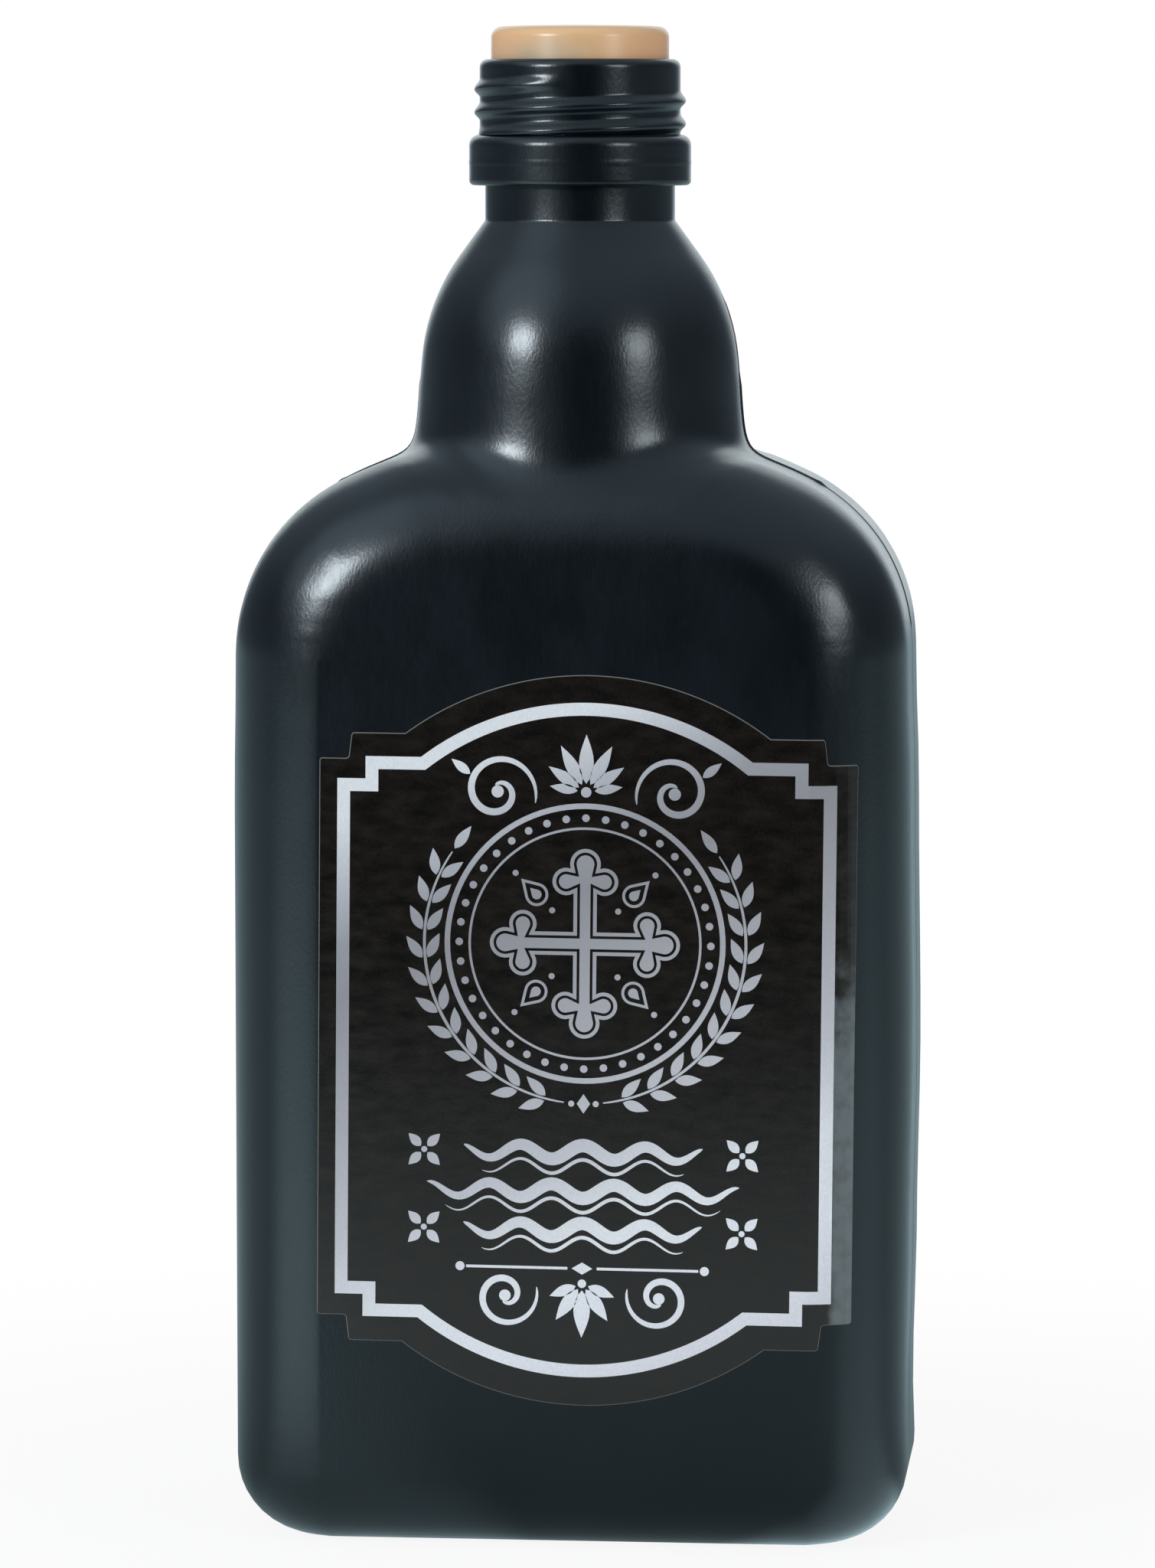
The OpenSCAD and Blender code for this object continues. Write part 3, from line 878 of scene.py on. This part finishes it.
def budded_arm(half, reach, lobe):
    """One arm of the cross, upwards: the right side, three round lobes, the left side."""
    side, across, rise = SIDE_LOBE * lobe, LOBE_APART * lobe, LOBE_LOW * lobe
    low = reach - rise
    foot = low - math.sqrt(side ** 2 - (across - half) ** 2)
    gap = math.hypot(across, rise)
    along = (side ** 2 - lobe ** 2 + gap ** 2) / (2 * gap)
    up = math.sqrt(side ** 2 - along ** 2)
    meet = (across + (up * rise - along * across) / gap, low + (along * rise + up * across) / gap)
    tip = atan2(meet[1] - reach, meet[0])
    start, stop = atan2(foot - low, half - across), atan2(meet[1] - low, meet[0] - across)
    right = bow((across, low), side, start, stop, steps=14)
    top = bow((0, reach), lobe, tip, 180 - tip, steps=20)
    return [(half, half)] + right + top[1:-1] + flipped(right)


for inner, outer in MEDAL_RINGS:
    flat_ring(MEDAL, inner, outer)
for bead in range(BEADS):
    dot(out_from(MEDAL, BEAD_OUT, 360 * bead / BEADS), BEAD_R)
arm = budded_arm(ARM_HALF, ARM_REACH, LOBE_R)
shape([point for turn in range(4) for point in turned(arm, 90 * turn, MEDAL)])
bpy.ops.mesh.inset(thickness=CROSS_RIM * MM, depth=0)
bpy.ops.mesh.inset(thickness=CROSS_GAP * MM, depth=0, use_select_inset=True)
bpy.ops.mesh.delete(type="FACE")
for angle in (45, 135, 225, 315):
    place = out_from(MEDAL, DROP_OUT, angle)
    shape(turned(drop(DROP_R, DROP_L), angle, place))
    bpy.ops.mesh.inset(thickness=DROP_LINE * MM, depth=0)
    bpy.ops.mesh.delete(type="ONLY_FACE")
    shape(turned(drop(DROP_R * DROP_CORE, DROP_L * DROP_CORE), angle, place))
    for distance in DROP_DOTS:
        dot(out_from(MEDAL, distance, angle), SMALL_DOT)
print("Medallion:", len(edited().faces), "faces so far")

# %% Laurel sprigs, palmette and upper scrolls
SPRIG_R, SPRIG_FOOT, SPRIG_STEP, SPRIG_LEAVES = 26.2, -76, 10, 11
STALK, STALK_W, STALK_END = 7, 0.5, 0.4
LEAF, LEAF_LEAN, LEAF_OFF = (4.4, 1.75), 31, 0.45
TIP_LEAF, TIP_LEAN, TIP_ON = (4.6, 1.7), 2, 1.4
SCROLL_EYE, SCROLL_R, SCROLL_END_R, SCROLL_W, SCROLL_DOT = (14.4, 40.6), 6.4, 1.1, 1.15, 1.0
SCROLL_LEAF, SCROLL_LEAF_AT, SCROLL_LEAF_TURN = (3.9, 1.5), (18.9, 43.4), 38
MEETING_DOT_U, MEETING_SIZE = 2.0, (1.1, 1.6)
PALM_FOOT, PALM_OUT, PALM_DOT = (0, 40.7), 1.4, 0.85
PALM = ((90, 8.0, 2.4), (61, 7.2, 2.1), (34, 6.0, 1.9), (9, 4.6, 1.6))

tip = SPRIG_FOOT + SPRIG_STEP * SPRIG_LEAVES
both(stroke(bow(MEDAL, SPRIG_R, SPRIG_FOOT - STALK, tip, steps=48), STALK_W, STALK_END))
for angle in range(SPRIG_FOOT, tip, SPRIG_STEP):
    for side in (-1, 1):
        root = out_from(MEDAL, SPRIG_R - LEAF_OFF * side, angle)
        both(turned(leaf(*LEAF), angle + 90 + LEAF_LEAN * side, root))
both(turned(leaf(*TIP_LEAF), tip + 90 + TIP_LEAN, out_from(MEDAL, SPRIG_R, tip + TIP_ON)))
both(stroke(scroll(SCROLL_EYE, SCROLL_R, SCROLL_END_R), SCROLL_W))
both(turned(leaf(*SCROLL_LEAF), SCROLL_LEAF_TURN, SCROLL_LEAF_AT))
petals(PALM_FOOT, PALM_OUT, PALM)
dot(PALM_FOOT, PALM_DOT)
dots(SCROLL_EYE, SCROLL_DOT)
meeting = (0, MEDAL[1] - SPRIG_R)
dots((MEETING_DOT_U, meeting[1]), SMALL_DOT)
diamond(meeting, *MEETING_SIZE)
print("Sprigs and palmette:", len(edited().faces), "faces so far")

# %% Wavy bars, rosettes, rule and foot ornament
WAVES = ((-18.2, 19.5, 1), (-24.6, 25.5, -1), (-31.0, 19.5, 1))
WAVE_L, WAVE_RISE, WAVE_W, WAVE_END, WAVE_POINTS = 10.2, 1.15, 2.2, 0.06, 90
RIPPLE_W, RIPPLE_DROP, RIPPLE_SHORT = 0.6, 2.35, 3
ROSETTE_U, ROSETTE_OUT = 26, 0.75
ROSETTE = [(angle, 2.9, 1.6) for angle in (45, 135, 225, 315)]
RULE_W, RULE_HALF, RULE_FROM, RULE_T = -37.3, 19, 2.4, 0.22
RULE_DOT_OUT, RULE_DOT, RULE_MIDDLE = 1, 0.75, (1.7, 1.0)
FLEUR_FOOT, FLEUR_OUT, FLEUR_DOT = (0, -39.8), 1.1, 0.7
FLEUR = ((-90, 7.8, 2.7), (-55, 6.3, 2.2), (-22, 4.6, 1.8))
FOOT_EYE, FOOT_SCROLL_R, FOOT_END_R, FOOT_SCROLL_W, FOOT_DOT = (12.6, 42.0), 5.4, 1.0, 1.1, 0.95

for level, half, sign in WAVES:
    for reach, lower, width in ((half, 0, WAVE_W), (half - RIPPLE_SHORT, RIPPLE_DROP, RIPPLE_W)):
        line = [-reach + 2 * reach * i / WAVE_POINTS for i in range(WAVE_POINTS + 1)]
        path = [(u, level - lower + sign * WAVE_RISE * cos(360 * u / WAVE_L)) for u in line]
        shape(stroke(path, width, WAVE_END))
for level in (WAVES[0][0], WAVES[2][0]):
    petals((ROSETTE_U, level), ROSETTE_OUT, ROSETTE)
    dots((ROSETTE_U, level), SMALL_DOT)
both([(RULE_FROM, RULE_W - RULE_T), (RULE_HALF, RULE_W - RULE_T), (RULE_HALF, RULE_W + RULE_T),
      (RULE_FROM, RULE_W + RULE_T)])
dots((RULE_HALF + RULE_DOT_OUT, RULE_W), RULE_DOT)
diamond((0, RULE_W), *RULE_MIDDLE)
foot_scroll = [(u, -w) for u, w in scroll(FOOT_EYE, FOOT_SCROLL_R, FOOT_END_R)]
both(stroke(foot_scroll, FOOT_SCROLL_W))
dots((FOOT_EYE[0], -FOOT_EYE[1]), FOOT_DOT)
petals(FLEUR_FOOT, FLEUR_OUT, FLEUR)
dot(FLEUR_FOOT, FLEUR_DOT)
print("Waves and foot ornament:", len(edited().faces), "faces so far")

# %% The print onto the label
INK_SHIFT, INK_GAP = (-0.15 * MM, 0, 0.12 * MM), 0.005 * MM

pick(lambda f: f.normal.y > 0, "FACE")
bpy.ops.mesh.flip_normals()
select_all()
move(*INK_SHIFT)
place_sheet(ink)
press_back(ink, label, INK_GAP)
apply_modifier(ink, "SOLIDIFY", thickness=INK_T, offset=1, use_even_offset=True)
print("Print:", len(ink.data.polygons), "faces")

# %% [markdown]
# ## Materials
# Every finish starts from what it is: blow-moulded polyethylene, an injection-moulded plug, coated paper and
# silver ink. A plain colour on each would look like a drawing, because no real surface is even, so noise
# with a size in millimetres varies the colour and, where the real surface has it, the gloss or a very shallow
# bump. The finest grain is drawn a few times coarser than the real one, or it would not show. One function
# turns a hex colour into the linear values that the shader takes, one adds a node, and short ones after it
# stand for the nodes that come often.

# %% Colour and node helpers
MIDDLE = (0.3, 0.7)
WHITE = (1, 1, 1, 1)


def linear(hex_colour):
    """sRGB hex to the linear RGBA that Blender's sockets take."""
    steps = [int(hex_colour[i:i + 2], 16) / 255 for i in (1, 3, 5)]
    return tuple(c / 12.92 if c <= 0.04045 else ((c + 0.055) / 1.055) ** 2.4 for c in steps) + (1,)


def add_node(tree, kind, inputs=None, **settings):
    """Adds one node. An input is a number, a colour or another node's output. Returns the node's outputs."""
    node = tree.nodes.new("ShaderNode" + kind)
    for key, value in settings.items():
        setattr(node, key, value)
    for key, value in (inputs or {}).items():
        if isinstance(value, bpy.types.NodeSocket):
            tree.links.new(value, node.inputs[key])
        else:
            node.inputs[key].default_value = value
    return node.outputs


def start_nodes(owner):
    """Empties a material's or world's nodes and returns the function that adds a node there."""
    owner.use_nodes = True
    owner.node_tree.nodes.clear()
    return functools.partial(add_node, owner.node_tree)


def start_material(name):
    """A new, empty material. Returns it, the function that adds a node to it, and its Object coordinates."""
    material = bpy.data.materials.new(name)
    add = start_nodes(material)
    return material, add, add("TexCoord")["Object"]


# The functions below put their node into the material or world that was started last, through its add.
def maths(operation, first, second=0):
    return add("Math", {0: first, 1: second}, operation=operation)[0]


def vector_maths(operation, first, second=(0, 0, 0)):
    return add("VectorMath", {0: first, 1: second}, operation=operation)


def stretched(*stretch):
    """Object coordinates in which everything is drawn out along the axes."""
    return vector_maths("DIVIDE", place, stretch)["Vector"]


def noise(where, size, detail):
    """Noise whose size is given in mm."""
    return add("TexNoise", {"Vector": where, "Scale": 1 / (size * MM), "Detail": detail})["Fac"]


def ramp(value, start, stop, low=0, high=1, kind="LINEAR"):
    """Goes from low to high while the value goes from start to stop."""
    ends = {"From Min": start, "From Max": stop, "To Min": low, "To Max": high}
    return add("MapRange", {"Value": value, **ends}, interpolation_type=kind)[0]


def ease(*ends):
    """A ramp that is soft at both ends."""
    return ramp(*ends, kind="SMOOTHSTEP")


def mix(share, first, second):
    return add("Mix", {0: share, 2: first, 3: second}, data_type="FLOAT")[0]


def blend(share, first, second):
    """A mix of two colours. Each is a hex colour, its linear values or another node's output."""
    first, second = [linear(c) if isinstance(c, str) else c for c in (first, second)]
    return add("Mix", {0: share, 6: first, 7: second}, data_type="RGBA")[2]


def bump(height, rise, **below):
    """A bump with its rise in mm, on top of the Normal of the one below, if there is one."""
    return add("Bump", {"Height": height, "Distance": rise * MM, **below})[0]


def surface(inputs):
    """Ends a material with one surface."""
    add("OutputMaterial", {"Surface": add("BsdfPrincipled", inputs)[0]})


print("Mid grey in linear values:", [round(value, 3) for value in linear("#808080")])

# %% Black polyethylene
# Blow-moulded: satin blue-black, with the sand-blasted mould's fine grain, drawn coarse enough to show, faint
# flow streaks along the height, and broad clouds where the wall cooled unevenly. All three are drawn out
# upwards, the way the plastic was blown. Each has its stretch, its size in mm, its detail and its bump in mm.
MOULDED = {"grain": (1.8, 0.45, 2, 0.019), "streaks": (3, 0.9, 2, 0.002), "clouds": (1.6, 9, 3, 0.02)}
CLOUD_ENDS, CLOUD_DULL, PLASTIC_GLOSS = (0.35, 0.65), 0.03, (0.21, 0.24)
plastic, add, place = start_material("blow_moulded_black_polyethylene")
relief, below = {}, {}
for name, (stretch, size, detail, rise) in MOULDED.items():
    relief[name] = noise(stretched(1, 1, stretch), size, detail)
    below["Normal"] = bump(relief[name], rise, **below)
cloudy = ramp(relief["clouds"], *CLOUD_ENDS)
colour = blend(cloudy, "#050b10", "#080f15")
streaky = ramp(relief["streaks"], *MIDDLE, *PLASTIC_GLOSS)
roughness = maths("ADD", streaky, maths("MULTIPLY", cloudy, CLOUD_DULL))
surface({"Base Color": colour, "Roughness": roughness, "IOR": 1.54, **below})
bottle.data.materials.append(plastic)
print("Bottle:", plastic.name)

# %% Tan stopper plastic
# Injection-moulded: glossy cork colour in faint clouds. Round the rim the colour is painted paler, a painted
# sheen of the pale room on the soft top edge. At its sides it is painted lighter, painted light that makes up
# for the lamp light falling off round the curve. Low on the front, left of the middle, where it meets the
# mouth, a smoky grey is partly painted shade and reflection of the dark lip and partly grime. The fine grain
# is drawn coarse, at 0.5 mm.
LIP_SHADE_X, PUFF_LOW = -4.8 * MM, 0.5
RIM_SHEEN_FADE = (STOPPER_TOP - 2.2 * MM, STOPPER_TOP - 0.6 * MM)
FOOT_FADE = (LIP_Z + 4.6 * MM, LIP_Z + 0.4 * MM, 0, 0.9)
LIP_SHADE_SPREAD = (2.5 * MM, 11 * MM, 1, 0.12)
SIDE_LIGHT_FADE = (2 * MM, 12 * MM)
cork, add, place = start_material("injection_moulded_tan_plastic")
sides = add("SeparateXYZ", {0: place})
puffs, mottle, grain = noise(place, 3.5, 3), noise(place, 2.5, 4), noise(place, 0.5, 2)
# Painted sheen: the rim is painted paler.
painted_rim_sheen = ease(sides["Z"], *RIM_SHEEN_FADE)
# Painted light: both sides are painted lighter, where the lamp light falls off round the curve.
across = ease(maths("ABSOLUTE", sides["X"]), *SIDE_LIGHT_FADE)
# Painted shade and grime: a smoky grey low on the front, where the stopper meets the mouth.
beside = ease(maths("ABSOLUTE", maths("SUBTRACT", sides["X"], LIP_SHADE_X)), *LIP_SHADE_SPREAD)
lip_shade_and_grime = ease(sides["Z"], *FOOT_FADE)
for share in (ramp(puffs, *MIDDLE, PUFF_LOW), beside):
    lip_shade_and_grime = maths("MULTIPLY", lip_shade_and_grime, share)
colour = linear("#cfa274")
for share, shade in ((mottle, "#d9b083"), (across, "#e3b083"), (painted_rim_sheen, "#e1b88d"), (lip_shade_and_grime, "#b0a28c")):
    colour = blend(share, colour, shade)
surface({"Base Color": colour, "Roughness": 0.28, "IOR": 1.5, "Normal": bump(grain, 0.004)})
stopper.data.materials.append(cork)
print("Stopper:", cork.name)

# %% Label paper
# Coated stock printed brown-black: paper grain, drawn coarse enough to show, and a shallow waviness that
# mottles what it mirrors. Where the right margin bends round the corner, its lower part is painted a pale
# blue-grey with a ragged, patchy border: a painted sheen of the light that the bend catches.
MARGIN_SHEEN_X, MARGIN_SHEEN_Z = (42.8 * MM, 44.4 * MM), (103 * MM, 80 * MM)
MOTTLE_ENDS, MARGIN_SHEEN_PATCHES, PAPER_GLOSS = (0.76, 1.24), (0.3, 0.55, 0.7), (0.12, 0.2)
paper, add, place = start_material("coated_black_label_paper")
sides = add("SeparateXYZ", {0: place})
fibre, ripple = noise(place, 0.35, 2), noise(stretched(2.2, 1, 1), 2.2, 2)
mottle = ramp(maths("ADD", fibre, ripple), *MOTTLE_ENDS)
# Painted sheen: the bend of the right margin is painted pale blue-grey lower down, in ragged patches.
painted_margin_sheen = 1
for axis, ends, size, waver in (("X", MARGIN_SHEEN_X, 5, 0.6 * MM), ("Z", MARGIN_SHEEN_Z, 4, 9 * MM)):
    ragged = ramp(noise(place, size, 3), *MIDDLE, -waver, waver)
    painted_margin_sheen = maths("MULTIPLY", ease(maths("ADD", sides[axis], ragged), *ends), painted_margin_sheen)
painted_margin_sheen = maths("MULTIPLY", painted_margin_sheen, ramp(noise(place, 2.6, 4), *MARGIN_SHEEN_PATCHES))
colour = blend(painted_margin_sheen, blend(mottle, "#0a0807", "#1a1512"), "#60676a")
surface({"Base Color": colour, "Roughness": ramp(ripple, *MIDDLE, *PAPER_GLOSS), "IOR": 1.72,
         "Specular Tint": linear("#ffeee7"), "Normal": bump(ripple, 0.012, Normal=bump(fibre, 0.001))})
label.data.materials[0] = paper
print("Label:", paper.name)

# %% Cut edge of the paper
# The die has cut through the print, so the sheet's edge shows the paler, rough core of the paper.
core, add, place = start_material("cut_paper_edge")
surface({"Base Color": blend(noise(place, 0.4, 2), "#5c5c59", "#767672"), "Roughness": 0.8})
label.data.materials[1] = core
print("Label's edge:", core.name)

# %% Silver ink
# Metallic ink without much mirror: flakes in a matt binder. Its sheen is painted into the colour, a slant that
# is bright at the upper left and at the foot and grey in between, and a fine speckle marks where the paper's
# grain took less ink.
SHEEN_SLANT, SHEEN_HALF, SPECKLE = 0.45, 62 * MM, (0, 0.16)
PAINTED_SHEEN = ((0.02, "#dadae0"), (0.13, "#e4e6ec"), (0.24, "#e2e4e8"), (0.37, "#c0c0c6"), (0.53, "#a5a4a9"),
         (0.70, "#8a888d"), (0.77, "#919196"), (0.84, "#afb0b6"), (0.94, "#d8dadd"))
silver, add, place = start_material("silver_label_ink")
sheen_z = LABEL_Z - SHEEN_SLANT * LABEL_X
# Painted sheen: the ink's brightness along the slant is painted into its colour.
slant = vector_maths("DOT_PRODUCT", place, (-SHEEN_SLANT, 0, 1))["Value"]
painted_sheen = add("ValToRGB", {0: ramp(slant, sheen_z - SHEEN_HALF, sheen_z + SHEEN_HALF)})["Color"]
stops = painted_sheen.node.color_ramp.elements
for number, (stop, shade) in enumerate(PAINTED_SHEEN):
    element = stops[number] if number < 2 else stops.new(stop)
    element.position, element.color = stop, linear(shade)
speck = ramp(noise(stretched(1, 1, 1.8), 0.3, 2), *MIDDLE, *SPECKLE)
surface({"Base Color": blend(speck, painted_sheen, "#7f818a"), "Roughness": 0.55})
ink.data.materials.append(silver)
print("Print:", silver.name)

# %% [markdown]
# ## Studio
# A plain studio: a white floor, a white backdrop and two softboxes in front. What black plastic shows is
# mostly what it mirrors, so the dim parts of the room matter as much as the lamps. The room is pale behind
# the bottle, above it and at the upper left, and dark where the camera stands, and the floor is brighter to
# the left than to the right. Only mirrored rays see those differences: the camera sees plain white, and the
# floor keeps its shadow.

# %% Floor
ROOM_WHITE, FLOOR_SIZE = 1.0, 6
CLOSE_BY, FAR_OFF = (0.06, 0.24), (0.2, 1.4, 1, 0.5)
AHEAD, SHADOW_EDGE, SHADED = (-0.75, -0.25, 0.04, 0.56), (0.08, 0.3, 0.9), 0.62
POOLS = ((-46, 34, 1.35, 0.2), (72, 26, 0.4, 2.2))
bpy.ops.mesh.primitive_plane_add(size=FLOOR_SIZE, location=(0, 0, 0))
floor = bpy.context.object
floor.name = floor.data.name = "studio_floor"
white_floor, add, place = start_material("white_floor_board")
rays = add("LightPath")
sides = add("SeparateXYZ", {0: place})
away = vector_maths("LENGTH", place)["Value"]
outwards = vector_maths("NORMALIZE", place)["Vector"]


def pool(azimuth, half, strength, close):
    """Light on the floor. azimuth counts from the front to the right; close is its share by the bottle."""
    wedge = vector_maths("DOT_PRODUCT", outwards, (sin(azimuth), -cos(azimuth), 0))["Value"]
    wedge = ease(wedge, cos(half), 1, 0, strength)
    wedge = maths("MULTIPLY", wedge, ease(away, *CLOSE_BY, close))
    return maths("MULTIPLY", wedge, ramp(away, *FAR_OFF))


def seen_directly():
    """1 for the rays that come from the camera, also through something clear."""
    return maths("MAXIMUM", rays["Is Camera Ray"], rays["Is Transmission Ray"])


floor_level = maths("MULTIPLY", ease(sides["Y"], *AHEAD), ease(away, *CLOSE_BY, SHADED))
for light in POOLS:
    floor_level = maths("ADD", floor_level, pool(*light))
mirrored = add("Emission", {"Color": linear("#d4f5ff"), "Strength": floor_level})[0]

board = add("BsdfPrincipled", {"Base Color": linear("#f3f3f3"), "Roughness": 0.9})[0]
glow = add("Emission", {"Color": WHITE, "Strength": ROOM_WHITE})[0]
white = maths("MULTIPLY", seen_directly(), ease(away, *SHADOW_EDGE))
seen = add("MixShader", {0: white, 1: board, 2: glow})[0]
whole = add("MixShader", {0: rays["Is Glossy Ray"], 1: seen, 2: mirrored})[0]
add("OutputMaterial", {"Surface": whole})
floor.data.materials.append(white_floor)
print("Floor:", floor.name)

# %% World
# Each patch of the room has a direction, the cosines where it starts and is full, and its levels outside and
# inside. The camera's side is a dark patch: it multiplies the others.
ROOM_DIFFUSE = 0.5
OVERHEAD = ((0, 0, 1), 0.2, 0.85, 0.2, 0.64)
BEHIND = ((-0.05, 0.945, 0.31), 0.83, 0.95, 0, 1.1)
UPPER_LEFT = ((-0.604, -0.507, 0.616), 0.8, 1, 0, 0.9)
CAMERA_SIDE = ((0.17, -0.975, 0.14), 0.9, 0.985, 1, 0.04)
world = bpy.data.worlds.new("studio_room")
bpy.context.scene.world = world
add = start_nodes(world)
rays = add("LightPath")
way = add("TexCoord")["Generated"]
room = []
for direction, *ends in (OVERHEAD, BEHIND, UPPER_LEFT, CAMERA_SIDE):
    patch = vector_maths("DOT_PRODUCT", way, Vector(direction).normalized())["Value"]
    room.append(ease(patch, *ends))
mirrored = room[0]
for patch, joined in ((room[1], "ADD"), (room[2], "ADD"), (room[3], "MULTIPLY")):
    mirrored = maths(joined, mirrored, patch)
strength = mix(seen_directly(), mix(rays["Is Glossy Ray"], ROOM_DIFFUSE, mirrored), ROOM_WHITE)
colour = blend(rays["Is Glossy Ray"], WHITE, blend(room[1], "#d4edff", "#eefaff"))
add("OutputWorld", {"Surface": add("Background", {"Color": colour, "Strength": strength})[0]})
print("World:", world.name)

# %% Softboxes
LAMP_AIM, LAMP_AWAY = Vector((0, 0, 0.16)), 1.2


def softbox(name, azimuth, elevation, width, height, power):
    """An area light, 1.2 m from the bottle's upper half; azimuth 0 is in front, positive to the right."""
    way = Vector((sin(azimuth) * cos(elevation), -cos(azimuth) * cos(elevation), sin(elevation)))
    bpy.ops.object.light_add(type="AREA", location=LAMP_AIM + way * LAMP_AWAY)
    lamp = bpy.context.object
    lamp.name = lamp.data.name = name
    lamp.rotation_euler = (-way).to_track_quat("-Z", "Y").to_euler()
    lamp.data.shape, lamp.data.size, lamp.data.size_y = "RECTANGLE", width, height
    lamp.data.energy, lamp.data.color = power, linear("#ecf8ff")[:3]


softbox("softbox_left", azimuth=-39, elevation=20, width=0.31, height=0.26, power=6.6)
softbox("softbox_right", azimuth=49, elevation=17, width=0.36, height=0.3, power=2.6)

# %% Camera
# The place and the lens were fitted to the outline of the bottle in the photograph.
CAMERA_AT, CAMERA_TILT, CAMERA_TURN = (0.10484, -1.13015, 0.2346), 84.415, 5.3
LENS, SENSOR_H, SHIFT_X = 104.68, 24, -0.0017
bpy.ops.object.camera_add(location=CAMERA_AT,
                          rotation=(math.radians(CAMERA_TILT), 0, math.radians(CAMERA_TURN)))
camera = bpy.context.object
camera.data.sensor_fit, camera.data.sensor_height = "VERTICAL", SENSOR_H
camera.data.lens, camera.data.shift_x = LENS, SHIFT_X
bpy.context.scene.camera = camera
bpy.context.scene.view_settings.view_transform = "Standard"
print("Camera:", round(camera.data.lens, 2), "mm")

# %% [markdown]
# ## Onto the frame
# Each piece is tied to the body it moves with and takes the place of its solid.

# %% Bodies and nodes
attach(bottle, "bottle_body")
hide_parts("bottle")
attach(stopper, "stopper_body")
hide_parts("stopper")
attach(label, "bottle_body")
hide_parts("front_label")
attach(ink, "bottle_body")
